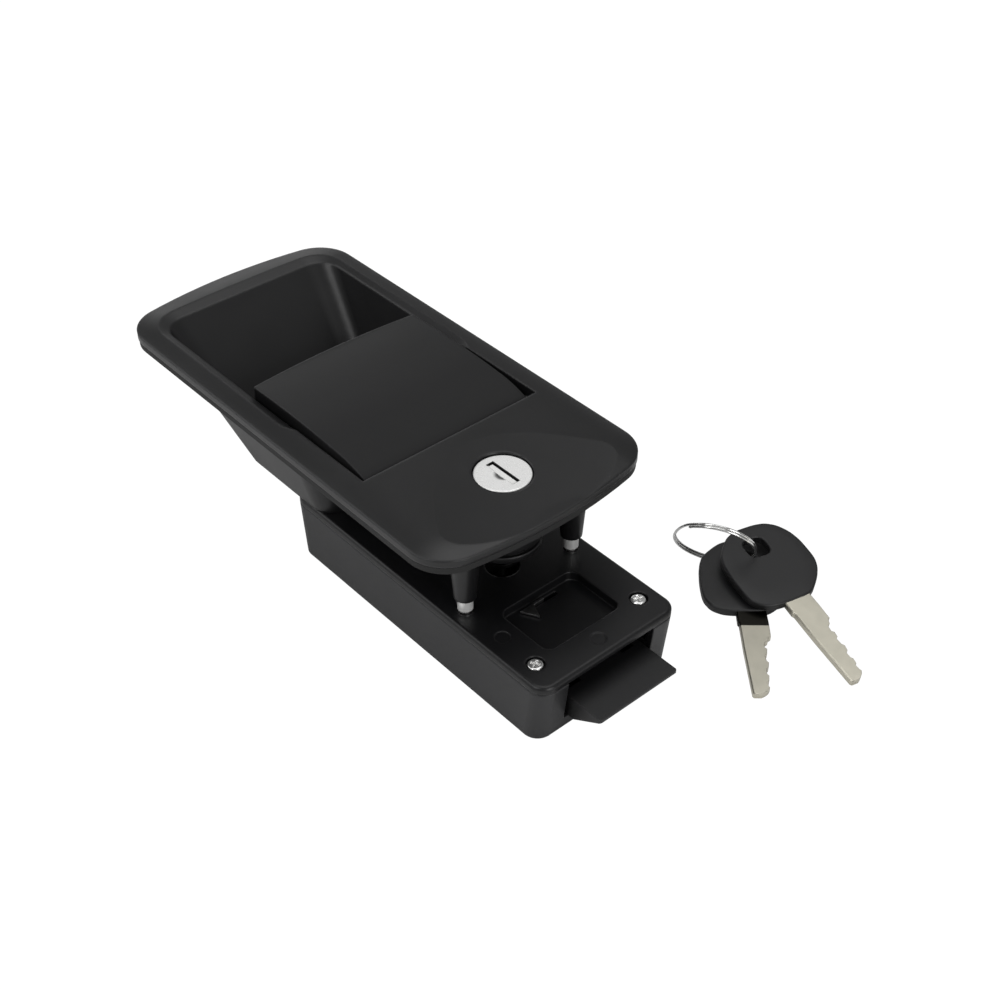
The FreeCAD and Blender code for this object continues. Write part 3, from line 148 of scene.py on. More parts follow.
# %% Build the floor and the sky
FLOOR_SIZE = 6.0
FLOOR_GAP = 0.00002     # between the lock's lowest point and the floor, in metres
FLOOR_COLOUR = (0.86, 0.86, 0.86, 1.0)
WHITE = (1.0, 1.0, 1.0, 1.0)
SHADOW_KEPT = 0.07
PAPER_GLOW = 1.08       # a little over white, so that noise never shows in it
SKY_LIGHT = 0.24


def seen_rays(tree):
    """1 for a ray that the camera sends, straight or through glass, and 0 for any other ray."""
    path = tree.nodes.new("ShaderNodeLightPath")
    return add_math(tree, "MAXIMUM", path.outputs["Is Camera Ray"], path.outputs["Is Transmission Ray"])


def finish_with_mix(tree, share, first, second, end):
    """Shows first where share is 0 and second where it is 1, on an output node of the kind end."""
    mix = tree.nodes.new("ShaderNodeMixShader")
    for socket, value in zip(mix.inputs, (share, first.outputs[0], second.outputs[0])):
        feed(tree, socket, value)
    add_node(tree, end, Surface=mix.outputs[0])


def add_floor():
    """A square just under the lock's lowest point, pale to lamps and nearly white to the camera."""
    half = FLOOR_SIZE / 2
    low = cad_low.z - FLOOR_GAP
    corners = [(-half, -half, low), (half, -half, low), (half, half, low), (-half, half, low)]
    mesh = bpy.data.meshes.new("floor")
    mesh.from_pydata(corners, [], [(0, 1, 2, 3)])
    floor = bpy.data.objects.new("floor", mesh)
    scene.collection.objects.link(floor)
    material = bpy.data.materials.new("floor_paper")
    material.use_nodes = True
    tree = material.node_tree
    tree.nodes.clear()
    paper = add_node(tree, "ShaderNodeBsdfDiffuse", Color=FLOOR_COLOUR)
    glow = add_node(tree, "ShaderNodeEmission", Strength=PAPER_GLOW)
    share = add_math(tree, "MULTIPLY", seen_rays(tree), 1.0 - SHADOW_KEPT)
    finish_with_mix(tree, share, paper, glow, "ShaderNodeOutputMaterial")
    mesh.materials.append(material)


def add_sky():
    """White to the eye, dim to the lock: two backgrounds mixed by the kind of ray."""
    world = bpy.data.worlds.new("studio_sky")
    scene.world = world
    world.use_nodes = True
    tree = world.node_tree
    tree.nodes.clear()
    dim = add_node(tree, "ShaderNodeBackground", Color=WHITE, Strength=SKY_LIGHT)
    white = add_node(tree, "ShaderNodeBackground", Color=WHITE, Strength=PAPER_GLOW)
    finish_with_mix(tree, seen_rays(tree), dim, white, "ShaderNodeOutputWorld")


add_floor()
add_sky()
print("floor at", round(cad_low.z / MM, 3), "mm and the sky over it")

# %% [markdown]
# ## Lamps
# Black plastic shows little of its own colour. What the eye reads is the light that it mirrors, and
# one small strong lamp would give hard glints. So a few large soft panels stand where the
# photograph has its pale edges: one low at the far left for the plate's end, one in front for the
# corner inside the dish, and one at the bolt's end.

# %% Set the lamps
LOCK_MIDDLE = Vector((-40.0, 0.0, 30.0)) * MM
LAMPS = {
    "left_window": {"at": (-1.3, -0.9, 1.1), "size": 1.3, "watts": 8.0},
    "far_left": {"at": (-1.75, 0.85, 0.66), "size": 0.7, "watts": 1.5},
    "front_window": {"at": (-0.1, -1.4, 1.5), "size": 0.9, "watts": 10.0},
    "top_panel": {"at": (-0.2, 0.5, 1.9), "size": 1.4, "watts": 10.0},
    "bolt_side": {"at": (1.6, -0.1, 0.75), "size": 0.9, "watts": 11.0},
}


def add_lamp(name, at, size, watts):
    """A square panel that faces the lock."""
    lamp = bpy.data.lights.new(name, "AREA")
    lamp.shape = "SQUARE"
    lamp.size = size
    lamp.energy = watts
    holder = bpy.data.objects.new(name, lamp)
    scene.collection.objects.link(holder)
    holder.location = Vector(at)
    holder.rotation_mode = "QUATERNION"
    holder.rotation_quaternion = (LOCK_MIDDLE - Vector(at)).to_track_quat("-Z", "Y")


for lamp_name, lamp_spec in LAMPS.items():
    add_lamp(lamp_name, **lamp_spec)
print("lamps:", list(LAMPS))

# %% [markdown]
# ## Shared effect: soft edges
# Real edges are never sharp: a moulding's are rounded by its tool, and hands rub them paler.
# Rounding every edge in the mesh would cost many faces. The Bevel node only bends the normal near
# an edge, and how far it bends it also says where edges are. As a node group it is built once and
# used by every finish.

# %% Soft edges as a node group
BEVEL_SAMPLES = 6


def new_group(name, inputs, outputs):
    """An empty node group with its sockets, and the two nodes that stand for inputs and outputs."""
    group = bpy.data.node_groups.new(name, "ShaderNodeTree")
    for socket, kind, value in inputs:
        made = group.interface.new_socket(socket, in_out="INPUT", socket_type=kind)
        made.default_value = value
    for socket, kind in outputs:
        group.interface.new_socket(socket, in_out="OUTPUT", socket_type=kind)
    return group, group.nodes.new("NodeGroupInput"), group.nodes.new("NodeGroupOutput")


def build_soft_edge():
    """Edge is one minus the cosine between the true normal and the normal rounded over Radius, times
    Gain and at most 1."""
    group, given, out = new_group(
        "soft_edge",
        [("Radius", "NodeSocketFloat", 0.0004), ("Gain", "NodeSocketFloat", 4.0)],
        [("Normal", "NodeSocketVector"), ("Edge", "NodeSocketFloat")],
    )
    rounded = add_node(group, "ShaderNodeBevel", Radius=given.outputs["Radius"])
    rounded.samples = BEVEL_SAMPLES
    geometry = group.nodes.new("ShaderNodeNewGeometry")
    dot = group.nodes.new("ShaderNodeVectorMath")
    dot.operation = "DOT_PRODUCT"
    group.links.new(rounded.outputs[0], dot.inputs[0])
    group.links.new(geometry.outputs["Normal"], dot.inputs[1])
    away = add_math(group, "SUBTRACT", 1.0, dot.outputs["Value"])
    feed(group, out.inputs["Edge"], add_math(group, "MULTIPLY", away, given.outputs["Gain"], True))
    feed(group, out.inputs["Normal"], rounded.outputs[0])
    return group


SOFT_EDGE = build_soft_edge()
print("effect:", SOFT_EDGE.name)

# %% [markdown]
# ## Shared effects: mould grain and brush lines
# A moulding tool leaves a fine even texture with cloudy gloss, and a brush leaves fine parallel
# lines on metal. Painting them on images would tie them to one unwrapping; noise in the lock's own
# coordinates works on every piece. Brush lines are the same noise, squeezed across the lines.

# %% Grain and lines as node groups
DUST_SCALE = 900.0                    # features to a metre
DUST_LEVEL, DUST_GAIN = 0.72, 9.0     # the noise over this level is a fleck, and grows this fast
METAL_CLOUD_SCALE = 220.0


def add_noise(tree, place, scale, detail, roughness=0.5):
    """Noise from 0 to 1; detail is how many finer layers are added, each weaker by roughness."""
    node = add_node(tree, "ShaderNodeTexNoise", Vector=place, Scale=scale, Detail=detail, Roughness=roughness)
    return node.outputs[0]


def build_mould_grain():
    """Height is fine noise, Cloud slow noise, and Dust a few small flecks, all from 0 to 1."""
    group, given, out = new_group(
        "mould_grain",
        [("Grain Scale", "NodeSocketFloat", 2600.0), ("Cloud Scale", "NodeSocketFloat", 45.0)],
        [("Height", "NodeSocketFloat"), ("Cloud", "NodeSocketFloat"), ("Dust", "NodeSocketFloat")],
    )
    place = group.nodes.new("ShaderNodeTexCoord").outputs["Object"]
    over = add_math(group, "SUBTRACT", add_noise(group, place, DUST_SCALE, 1.0), DUST_LEVEL)
    feed(group, out.inputs["Height"], add_noise(group, place, given.outputs["Grain Scale"], 3.0, 0.6))
    feed(group, out.inputs["Cloud"], add_noise(group, place, given.outputs["Cloud Scale"], 3.0))
    feed(group, out.inputs["Dust"], add_math(group, "MULTIPLY", over, DUST_GAIN, True))
    return group


def build_brush_lines():
    """Lines is noise whose place is multiplied by Stretch, so it runs in streaks along the axis with
    the smallest factor; Cloud is slow noise."""
    group, given, out = new_group(
        "brush_lines",
        [("Stretch", "NodeSocketVector", (200.0, 4000.0, 4000.0))],
        [("Lines", "NodeSocketFloat"), ("Cloud", "NodeSocketFloat")],
    )
    place = group.nodes.new("ShaderNodeTexCoord").outputs["Object"]
    stretched = group.nodes.new("ShaderNodeVectorMath")
    stretched.operation = "MULTIPLY"
    feed(group, stretched.inputs[0], place)
    feed(group, stretched.inputs[1], given.outputs["Stretch"])
    feed(group, out.inputs["Lines"], add_noise(group, stretched.outputs[0], 1.0, 2.0))
    feed(group, out.inputs["Cloud"], add_noise(group, place, METAL_CLOUD_SCALE, 2.0))
    return group


MOULD_GRAIN = build_mould_grain()
BRUSH_LINES = build_brush_lines()
print("effects:", MOULD_GRAIN.name, BRUSH_LINES.name)

# %% [markdown]
# ## Masks by place
# Some pieces change their look from one place to the next. The key plug has a bright face, but it is
# black below it, and the slit beside the flap in its keyway, with a thin margin round it, is painted
# black as shade. One key has painted shade on its blade after the shoulder, for the heads' shadow and
# their dark reflection. Such places could be painted or cut into pieces of their own; a fade along one
# axis of the lock says the same with two numbers, and products of fades make rectangles.

# %% Ramps, fades and masks
FACE_Z = 55.8                                   # height of the cylinder's face
SLIT_SHADE = {"X": (-5.85, 5.68), "Y": (-1.2, 1.5)}   # keyway and a thin margin, painted black as shade in the slit beside its flap
SLIT_SHADE_BLUR = 0.05                                # half the width of the soft border of the slit's painted shade
BLACK_BELOW, BARE_ABOVE = 1.0, 0.9              # how far below the face the plug is all black, or bare
SHADE_BAND_BLUR = 0.25                                # width of the soft border of the painted shade on a key blade


def add_ramp(tree, factor, low, high):
    """Runs from low to high as factor goes from 0 to 1, for numbers or for colours."""
    if isinstance(low, (int, float)):
        return add_math(tree, "ADD", add_math(tree, "MULTIPLY", factor, high - low), low)
    node = tree.nodes.new("ShaderNodeMix")
    node.data_type = "RGBA"
    feed(tree, node.inputs["Factor"], factor)
    colour_inputs = [socket for socket in node.inputs if socket.type == "RGBA"]
    for socket, colour in zip(colour_inputs, (low, high)):
        feed(tree, socket, (*colour, 1.0) if isinstance(colour, tuple) else colour)
    return [socket for socket in node.outputs if socket.type == "RGBA"][0]


def add_fade(tree, axis, start, end):
    """0 before start and 1 past end along one axis of the lock, in millimetres, and a smooth step
    between them."""
    place = tree.nodes.new("ShaderNodeTexCoord").outputs["Object"]
    parts = add_node(tree, "ShaderNodeSeparateXYZ", Vector=place)
    ends = {"From_Min": start * MM, "From_Max": end * MM}
    node = add_node(tree, "ShaderNodeMapRange", Value=parts.outputs[axis], **ends)
    node.interpolation_type = "SMOOTHSTEP"
    return node.outputs["Result"]


def add_plating_and_slit_shade(tree):
    """1 on the parts of the key plug that are black: what lies below the face, which is plated black,
    and the slit, painted black as shade, which is a product of four fades, one for each side of its
    rectangle."""
    sides = []
    for axis, (start, end) in SLIT_SHADE.items():
        after = add_fade(tree, axis, end - SLIT_SHADE_BLUR, end + SLIT_SHADE_BLUR)
        sides.append(add_fade(tree, axis, start - SLIT_SHADE_BLUR, start + SLIT_SHADE_BLUR))
        sides.append(add_math(tree, "SUBTRACT", 1.0, after))
    slit_shade = sides[0]
    for side in sides[1:]:
        slit_shade = add_math(tree, "MULTIPLY", slit_shade, side)
    deep = add_math(tree, "SUBTRACT", 1.0, add_fade(tree, "Z", FACE_Z - BLACK_BELOW, FACE_Z - BARE_ABOVE))
    return add_math(tree, "MAXIMUM", slit_shade, deep)


def add_shade_band(tree, start, end):
    """1 between two places along a key blade, where it gets painted shade, and 0 outside; the mesh
    holds each point's place along the blade, in millimetres, as an attribute. The value is one rising
    edge minus another."""
    along = tree.nodes.new("ShaderNodeAttribute")
    along.attribute_name = "along"
    past = [add_math(tree, "SUBTRACT", along.outputs["Fac"], place) for place in (start, end)]
    rises = [add_math(tree, "DIVIDE", distance, SHADE_BAND_BLUR, True) for distance in past]
    return add_math(tree, "SUBTRACT", rises[0], rises[1], True)


print("masks: slit", SLIT_SHADE, "face height", FACE_Z)

# %% [markdown]
# ## Two families of finish
# Mouldings are black and get their life from grain, cloudy gloss and edges that have rubbed paler.
# Metals are bright and get theirs from brush lines. Every finish could be a material built by hand,
# but one function for each family keeps the wiring in one place and leaves a table of values, where
# finishes are compared.

# %% Finish builders
# black plating of the cylinder, used too as painted shade in the key plug's keyway slit
BLACK_PLATING_AND_SHADE = (0.012, 0.012, 0.012)
# painted shade on the rear key blade after its shoulder: the heads' shadow and their dark reflection
BLADE_SHADE = (0.022, 0.021, 0.018)
# painted shade at the bottom of the scoop in the key face
SCOOP_SHADE = (0.10, 0.10, 0.10)
SCOOP_SHADE_DEPTH, SCOOP_SHADE_LIP = 0.42, 0.02     # how far below the face the scoop's painted shade is darkest, and where it starts
CLOUD_TINT = 1.35                       # how much paler a moulding is in the middle of a cloud
GRAIN_STRENGTH, BRUSH_STRENGTH = 0.6, 0.5


def start_finish(name):
    """A new material, its nodes and its surface shader."""
    material = bpy.data.materials.new(name)
    material.use_nodes = True
    return material, material.node_tree, material.node_tree.nodes["Principled BSDF"]


def add_relief(tree, shader, height, edge, strength, depth):
    """Bends the rounded normal by the slope of height, whose full range stands for depth in metres."""
    relief = add_node(tree, "ShaderNodeBump", Strength=strength, Distance=depth, Height=height,
                      Normal=edge.outputs["Normal"])
    feed(tree, shader.inputs["Normal"], relief.outputs[0])


def moulded(name, colour, worn, gloss, grain=2600.0, bump=0.000012, radius=0.0004, dust=0.02,
            mirror=0.5, dulls=None):
    """Black moulding: worn is its colour on edges, and gloss the roughness outside and inside a cloud.
    mirror is how much a smooth spot would mirror, and dulls is (axis, start, end, added roughness)
    where a piece gets duller along its length."""
    material, tree, shader = start_finish(name)
    surface = add_node(tree, "ShaderNodeGroup", MOULD_GRAIN, Grain_Scale=grain)
    edge = add_node(tree, "ShaderNodeGroup", SOFT_EDGE, Radius=radius)
    speck = add_math(tree, "MULTIPLY", surface.outputs["Dust"], dust)
    base = add_ramp(tree, surface.outputs["Cloud"], colour, tuple(CLOUD_TINT * c for c in colour))
    base = add_ramp(tree, add_math(tree, "MAXIMUM", edge.outputs["Edge"], speck), base, worn)
    feed(tree, shader.inputs["Base Color"], base)
    feed(tree, shader.inputs["Specular IOR Level"], mirror)
    roughness = add_ramp(tree, surface.outputs["Cloud"], *gloss)
    if dulls:
        axis, start, end, added = dulls
        more = add_math(tree, "MULTIPLY", add_fade(tree, axis, start, end), added)
        roughness = add_math(tree, "ADD", roughness, more)
    feed(tree, shader.inputs["Roughness"], roughness)
    add_relief(tree, shader, surface.outputs["Height"], edge, GRAIN_STRENGTH, bump)
    return material


def metal(name, colour, dull, gloss, stretch=(200.0, 4000.0, 4000.0), bump=0.000004, radius=0.0002,
          bare=1.0, face=False, shade_band=None):
    """Brush lines drive the roughness and a shallow relief, and a slow cloud the colour. bare is the
    metallic share, and the rest is a pale skin. face marks the key plug, which is black below its
    face and gets painted shade in its scoop and its keyway slit, and shade_band is (start, end) of a
    painted shade along a key blade, for the heads' shadow and their dark reflection."""
    material, tree, shader = start_finish(name)
    brush = add_node(tree, "ShaderNodeGroup", BRUSH_LINES, Stretch=stretch)
    edge = add_node(tree, "ShaderNodeGroup", SOFT_EDGE, Radius=radius)
    base = add_ramp(tree, brush.outputs["Cloud"], colour, dull)
    if face:
        # painted shade in the scoop, grey at its bottom and fading out towards the face
        rim = add_fade(tree, "Z", FACE_Z - SCOOP_SHADE_DEPTH, FACE_Z - SCOOP_SHADE_LIP)
        base = add_ramp(tree, rim, SCOOP_SHADE, base)
        # black below the face, where the plug is plated, and painted shade in its keyway slit
        base = add_ramp(tree, add_plating_and_slit_shade(tree), base, BLACK_PLATING_AND_SHADE)
    if shade_band:
        # painted shade along the blade, for the heads' shadow and their dark reflection
        base = add_ramp(tree, add_shade_band(tree, *shade_band), base, BLADE_SHADE)
    feed(tree, shader.inputs["Base Color"], base)
    feed(tree, shader.inputs["Metallic"], bare)
    feed(tree, shader.inputs["Roughness"], add_ramp(tree, brush.outputs["Lines"], *gloss))
    add_relief(tree, shader, brush.outputs["Lines"], edge, BRUSH_STRENGTH, bump)
    return material


print("finish builders: moulded, metal")

# %% [markdown]
# ### Mouldings
# The outside mouldings are smoother than the inside housing, and the gasket is dull rubber. The
# paddle gets duller towards its hinge, where no hand polishes it, and the shutter behind the keyway
# is the one white moulding. The blacks are far darker than they look in the photograph, because
# most of what it shows there is mirrored light.

# %% Mix the mouldings
BLACK = (0.0048, 0.0048, 0.0052)
MOULDINGS = {
    "plate_black": dict(colour=BLACK, worn=(0.014, 0.014, 0.015), gloss=(0.30, 0.42), radius=0.0011),
    "paddle_black": dict(colour=BLACK, worn=(0.02, 0.02, 0.021), gloss=(0.36, 0.46), radius=0.0008,
                         mirror=0.4, dulls=("X", -66.0, -40.0, 0.26)),
    "housing_black": dict(colour=(0.010, 0.010, 0.011), worn=(0.035, 0.035, 0.036), gloss=(0.36, 0.48),
                          radius=0.0008),
    "bolt_black": dict(colour=(0.005, 0.005, 0.0055), worn=(0.02, 0.02, 0.021), gloss=(0.38, 0.5),
                       radius=0.0005),
    "cover_black": dict(colour=(0.0045, 0.0045, 0.005), worn=(0.014, 0.014, 0.015), gloss=(0.30, 0.40),
                        radius=0.0007, mirror=0.4),
    "inner_black": dict(colour=(0.02, 0.02, 0.02), worn=(0.05, 0.05, 0.05), gloss=(0.40, 0.50)),
    "gasket_rubber": dict(colour=(0.006, 0.006, 0.006), worn=(0.015, 0.015, 0.015), gloss=(0.65, 0.8),
                          grain=1400.0, bump=0.00003),
    "head_black": dict(colour=(0.0055, 0.0055, 0.006), worn=(0.04, 0.04, 0.041), gloss=(0.40, 0.52),
                       radius=0.0003),
    "shutter_white": dict(colour=(0.72, 0.72, 0.71), worn=(0.85, 0.85, 0.85), gloss=(0.25, 0.35),
                          radius=0.0001),
}
FINISHES = {name: moulded(name, **look) for name, look in MOULDINGS.items()}
print("mouldings:", list(MOULDINGS))

# %% [markdown]
# ### Metals
# The key face is pale cast zinc, with painted shade in its scoop and its keyway slit, while the rest
# of the cylinder is plated black. The studs, screws and ring are brighter than the springs and pins
# inside, and the key blades are the yellowish alloy called nickel silver. One blade has painted shade
# after its shoulder, for the heads' shadow and their dark reflection.

# %% Mix the metals
BLADE_SHADE_FIELD = (15.0, 21.0)     # start and end along the blade of its painted shade
NICKEL_SILVER = dict(colour=(0.66, 0.63, 0.53), dull=(0.52, 0.50, 0.42), gloss=(0.26, 0.40))
METALS = {
    "face_zinc": dict(colour=(0.97, 0.97, 0.96), dull=(0.92, 0.92, 0.91), gloss=(0.22, 0.34),
                      stretch=(500.0, 500.0, 500.0), bump=0.0000008, bare=0.25, face=True),
    "pointer_steel": dict(colour=(0.30, 0.30, 0.30), dull=(0.20, 0.20, 0.20), gloss=(0.25, 0.38)),
    "black_plated": dict(colour=BLACK_PLATING_AND_SHADE, dull=(0.02, 0.02, 0.02), gloss=(0.30, 0.42)),
    "steel": dict(colour=(0.72, 0.72, 0.71), dull=(0.6, 0.6, 0.59), gloss=(0.22, 0.36),
                  stretch=(3000.0, 3000.0, 300.0)),
    "screw_zinc": dict(colour=(0.90, 0.90, 0.89), dull=(0.74, 0.74, 0.73), gloss=(0.10, 0.2),
                       stretch=(600.0, 600.0, 600.0), bump=0.000001, bare=0.85),
    "stud_zinc": dict(colour=(0.97, 0.97, 0.96), dull=(0.70, 0.70, 0.69), gloss=(0.12, 0.26),
                      stretch=(300.0, 300.0, 4000.0), bare=0.4),
    "ring_steel": dict(colour=(0.86, 0.86, 0.85), dull=(0.70, 0.70, 0.69), gloss=(0.10, 0.2),
                       stretch=(900.0, 900.0, 900.0)),
    "brass": dict(colour=(0.78, 0.60, 0.28), dull=(0.66, 0.5, 0.24), gloss=(0.25, 0.4)),
    "nickel_silver": NICKEL_SILVER,
    "shaded_nickel": dict(NICKEL_SILVER, shade_band=BLADE_SHADE_FIELD),
}
FINISHES.update({name: metal(name, **look) for name, look in METALS.items()})
print("metals:", list(METALS))

# %% [markdown]
# ### Which piece wears which finish
# The pieces came from CAD without these looks. Each could be given its material in a line of its
# own; a table by finish is shorter and shows which pieces share one. What it doesn't name is a
# brass wafer, a small part of plain steel, or a piece that a computed one replaces further on.

# %% Dress the pieces
WORN_BY = {
    "plate_black": "outer_plate",
    "gasket_rubber": "gasket",
    "paddle_black": "outer_paddle",
    "housing_black": "housing inside_lever snib",
    "cover_black": "cover_plate",
    "bolt_black": "slam_bolt",
    "inner_black": "retractor",
    "shutter_white": "keyway_shutter",
    "face_zinc": "key_plug",
    "black_plated": "cylinder_sleeve cylinder_clip plug_ring plug_tail tail_screw",
    "pointer_steel": "lock_slide",
    "stud_zinc": "near_stud far_stud",
}
FINISH_OF = {piece: finish for finish, pieces in WORN_BY.items() for piece in pieces.split()}
for node_name, node in nodes.items():
    finish = FINISH_OF.get(node_name, "brass" if node_name.startswith("wafer") else "steel")
    for slot in node.material_slots:
        slot.link = "OBJECT"
        slot.material = FINISHES[finish]
print("finishes:", len(FINISHES), "dressed pieces:", len(nodes))

# %% [markdown]
# ## Closed surfaces from rows of points
# The pieces that follow are computed: each is a stack of rows of points, with the same number in
# every row, so that neighbouring rows are joined by four-sided faces. Extruding curves with a
# modifier would be shorter to write, but here each point's place is a plain formula, and arrays
# work out all points at once. Their sizes are in millimetres, and add_piece turns them into metres.

# %% From rows of points to a piece
SHARP_ANGLE = 34.0     # faces that meet at more than this many degrees keep their edge


def rows_to_faces(rows, points, ring):
    """Quads between each row and the next, every row closing on itself. A ring joins its last row to
    its first; otherwise one more face closes each end."""
    number = np.arange(rows * points).reshape(rows, points)
    ahead = np.roll(number, -1, axis=0)
    quads = np.stack([number, np.roll(number, -1, axis=1), np.roll(ahead, -1, axis=1), ahead], axis=2)
    if ring:
        return [quads.reshape(-1, 4)]
    return [quads[:-1].reshape(-1, 4), np.stack([number[0, ::-1], number[-1]])]


def signed_volume(points, face_sets):
    """Cuts every face into triangles from its first corner and adds the volumes of the tetrahedra
    between them and the origin; the sum is negative when the faces look inwards."""
    total = 0.0
    for faces in face_sets:
        first = np.repeat(faces[:, :1], faces.shape[1] - 2, axis=1)
        a, b, c = points[first], points[faces[:, 1:-1]], points[faces[:, 2:]]
        total += np.sum(a * np.cross(b, c)) / 6
    return total


def add_piece(name, grid, finish, node, ring=False, along=None):
    """Adds a closed piece in place of a CAD node; grid is rows x points x 3, in millimetres."""
    flat = grid.reshape(-1, 3) * MM
    face_sets = rows_to_faces(*grid.shape[:2], ring)
    if signed_volume(flat - flat.mean(axis=0), face_sets) < 0:
        face_sets = [faces[:, ::-1] for faces in face_sets]
    mesh = bpy.data.meshes.new(name)
    mesh.from_pydata(flat.tolist(), [], [face for faces in face_sets for face in faces.tolist()])
    mesh.polygons.foreach_set("use_smooth", [True] * len(mesh.polygons))
    mesh.set_sharp_from_angle(angle=math.radians(SHARP_ANGLE))
    if along is not None:
        mesh.attributes.new("along", "FLOAT", "POINT").data.foreach_set("value", along.reshape(-1).tolist())
    mesh.materials.append(FINISHES[finish])
    piece = bpy.data.objects.new(name, mesh)
    scene.collection.objects.link(piece)
    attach(piece, "lock_body")
    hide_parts(node)
    print(name, "faces:", len(mesh.polygons))


print("piece builder: add_piece")

# %% [markdown]
# ## The split ring
# A torus for each turn would be closed on itself, but a split ring is one wire: it runs once
# round, steps sideways by its own thickness and runs round again, and its ends lie against the
# step. The wire's middle line is a circle with a sideways step, and a small circle of points is
# carried along it.

# %% Compute the split ring
RING_R = 12.6
RING_WIRE_R = 0.42
RING_AT = np.array((27.3, 62.7, 12.0))
RING_LEAN = np.array((-0.473, 0.755, 0.454))
RING_AXIS = RING_LEAN / np.linalg.norm(RING_LEAN)
RING_STEP = 0.45       # half the angle of the sideways step, in radians
RING_STEP_AT = 2.3     # where the step is, in radians round the ring
TURN_GAP = 0.02        # half the gap between the two turns
WIRE_END = 0.55        # radius of the cut ends, as a share of the wire's


def wire_grid(steps=420, points=14):
    """Middle line: angle t goes twice round, from the step back to it; the sideways offset s runs from
    one wire radius below to one above, as a smooth step of t halfway. The first and the last circle of
    points are smaller, for the wire's cut ends."""
    across = np.cross(RING_AXIS, (1.0, 0.0, 0.0))
    across /= np.linalg.norm(across)
    other = np.cross(RING_AXIS, across)
    t = np.linspace(RING_STEP, 4 * np.pi - RING_STEP, steps)
    share = np.clip((t - (2 * np.pi - RING_STEP)) / (2 * RING_STEP), 0.0, 1.0)
    s = (2 * (3 * share**2 - 2 * share**3) - 1) * (RING_WIRE_R + TURN_GAP)
    outward = np.cos(t + RING_STEP_AT)[:, None] * across + np.sin(t + RING_STEP_AT)[:, None] * other
    middle = RING_AT + RING_R * outward + s[:, None] * RING_AXIS
    turn = np.linspace(0.0, 2 * np.pi, points, endpoint=False)
    thin = np.ones(steps)
    thin[[0, -1]] = WIRE_END
    circle = np.cos(turn)[None, :, None] * outward[:, None, :] + np.sin(turn)[None, :, None] * RING_AXIS
    return middle[:, None, :] + circle * (RING_WIRE_R * thin)[:, None, None]


add_piece("wire_ring", wire_grid(), "ring_steel", "split_ring")

# %% [markdown]
# ## Cover screws with a cross recess
# The CAD screws have plain heads. Cutting a cross into them would need clean solids on both sides,
# so each computed screw is turned like a pot on a wheel instead: rows of points go from the tip up
# the shank, round the head and over its top, and sink where they cross one of the two slots.

# %% Compute the cover screws
SCREW_X, SCREW_Y, SCREW_TOP = 36.2, 19.8, 21.5
HEAD_R, HEAD_T = 2.2, 1.4
SHANK_R, SHANK_L = 1.2, 13.8
TIP_R, TIP_L = 0.15, 1.2
HEAD_ROUND = [(0.0, 0.45), (0.05, 0.3), (0.18, 0.17), (0.4, 0.09)]   # in from the rim, down from the top
DOME_R, DOME_RISE = HEAD_R - 0.4, 0.09                               # the slightly domed top
DOME_ROWS, DOME_FROM, DOME_TO = 34, HEAD_R - 0.45, 0.02
SLOT_HALF, SLOT_REACH, SLOT_DEPTH = 0.34, 1.45, 0.75                 # half the width, half the length
SLOT_WALL, SLOT_END = 0.12, 0.35                                     # width of the sloping sides and ends
SLOT_WITHIN = HEAD_R - 0.42
SCREWS = {"near": (-SCREW_Y, 0.5), "far": (SCREW_Y, 1.1)}            # place, and turn of the cross in radians


def screw_grid(y, turned, points=144):
    """The dome falls with the square of the radius. The depth of the cross falls from its full value
    to nothing over SLOT_WALL at the sides of either slot, and over SLOT_END at its ends. It lowers
    every row within SLOT_WITHIN, the shank's too, which the cover hides."""
    turn = np.linspace(0.0, 2 * np.pi, points, endpoint=False)
    foot, neck = SCREW_TOP - SHANK_L, SCREW_TOP - HEAD_T
    profile = [(TIP_R, foot), (SHANK_R, foot + TIP_L), (SHANK_R, neck), (HEAD_R, neck)]
    profile += [(HEAD_R - inwards, SCREW_TOP - down) for inwards, down in HEAD_ROUND]
    dome = np.linspace(DOME_FROM, DOME_TO, DOME_ROWS)
    profile += [(r, SCREW_TOP - DOME_RISE * (r / DOME_R)**2) for r in dome]
    radius, height = np.array(profile).T[:, :, None]
    x = np.abs(radius * np.cos(turn - turned))
    w = np.abs(radius * np.sin(turn - turned))
    depth = np.zeros_like(x)
    for run, side in ((x, w), (w, x)):
        wall = np.clip((SLOT_HALF - side) / SLOT_WALL + 0.5, 0.0, 1.0)
        end = np.clip((SLOT_REACH - run) / SLOT_END, 0.0, 1.0)
        depth = np.maximum(depth, wall * end * SLOT_DEPTH)
    height = height - np.where(radius < SLOT_WITHIN, depth, 0.0)
    return np.stack([SCREW_X + radius * np.cos(turn), y + radius * np.sin(turn), height], axis=2)


for side, place in SCREWS.items():
    add_piece(side + "_cross_screw", screw_grid(*place), "screw_zinc", side + "_cover_screw")

# %% [markdown]
# ## Where the keys lie
# The rear key lies on the floor and the front one leans on it. Turning whole objects would work,
# but every piece has to keep its origin at the lock's. So each key is drawn in its own frame, along
# the key and across it from the middle of its head, and the points are then turned and tilted.

# %% Place a key's own frame
KEY_PLACES = {
    "front": {"at": (41.6, 71.85, 6.1), "turn": -14.8, "tilt": 7.9},
    "rear": {"at": (37.8, 66.1, 1.7), "turn": -41.8, "tilt": 2.57},
}


def key_frame(points, at, turn, tilt):
    """Puts points of a key's own frame into the lock's: tilt about the key's cross line, then turn."""
    a, b = math.radians(turn), math.radians(tilt)
    along = np.array((math.cos(a) * math.cos(b), math.sin(a) * math.cos(b), -math.sin(b)))
    across = np.array((-math.sin(a), math.cos(a), 0.0))
    return np.array(at) + points @ np.stack([along, across, np.cross(along, across)])


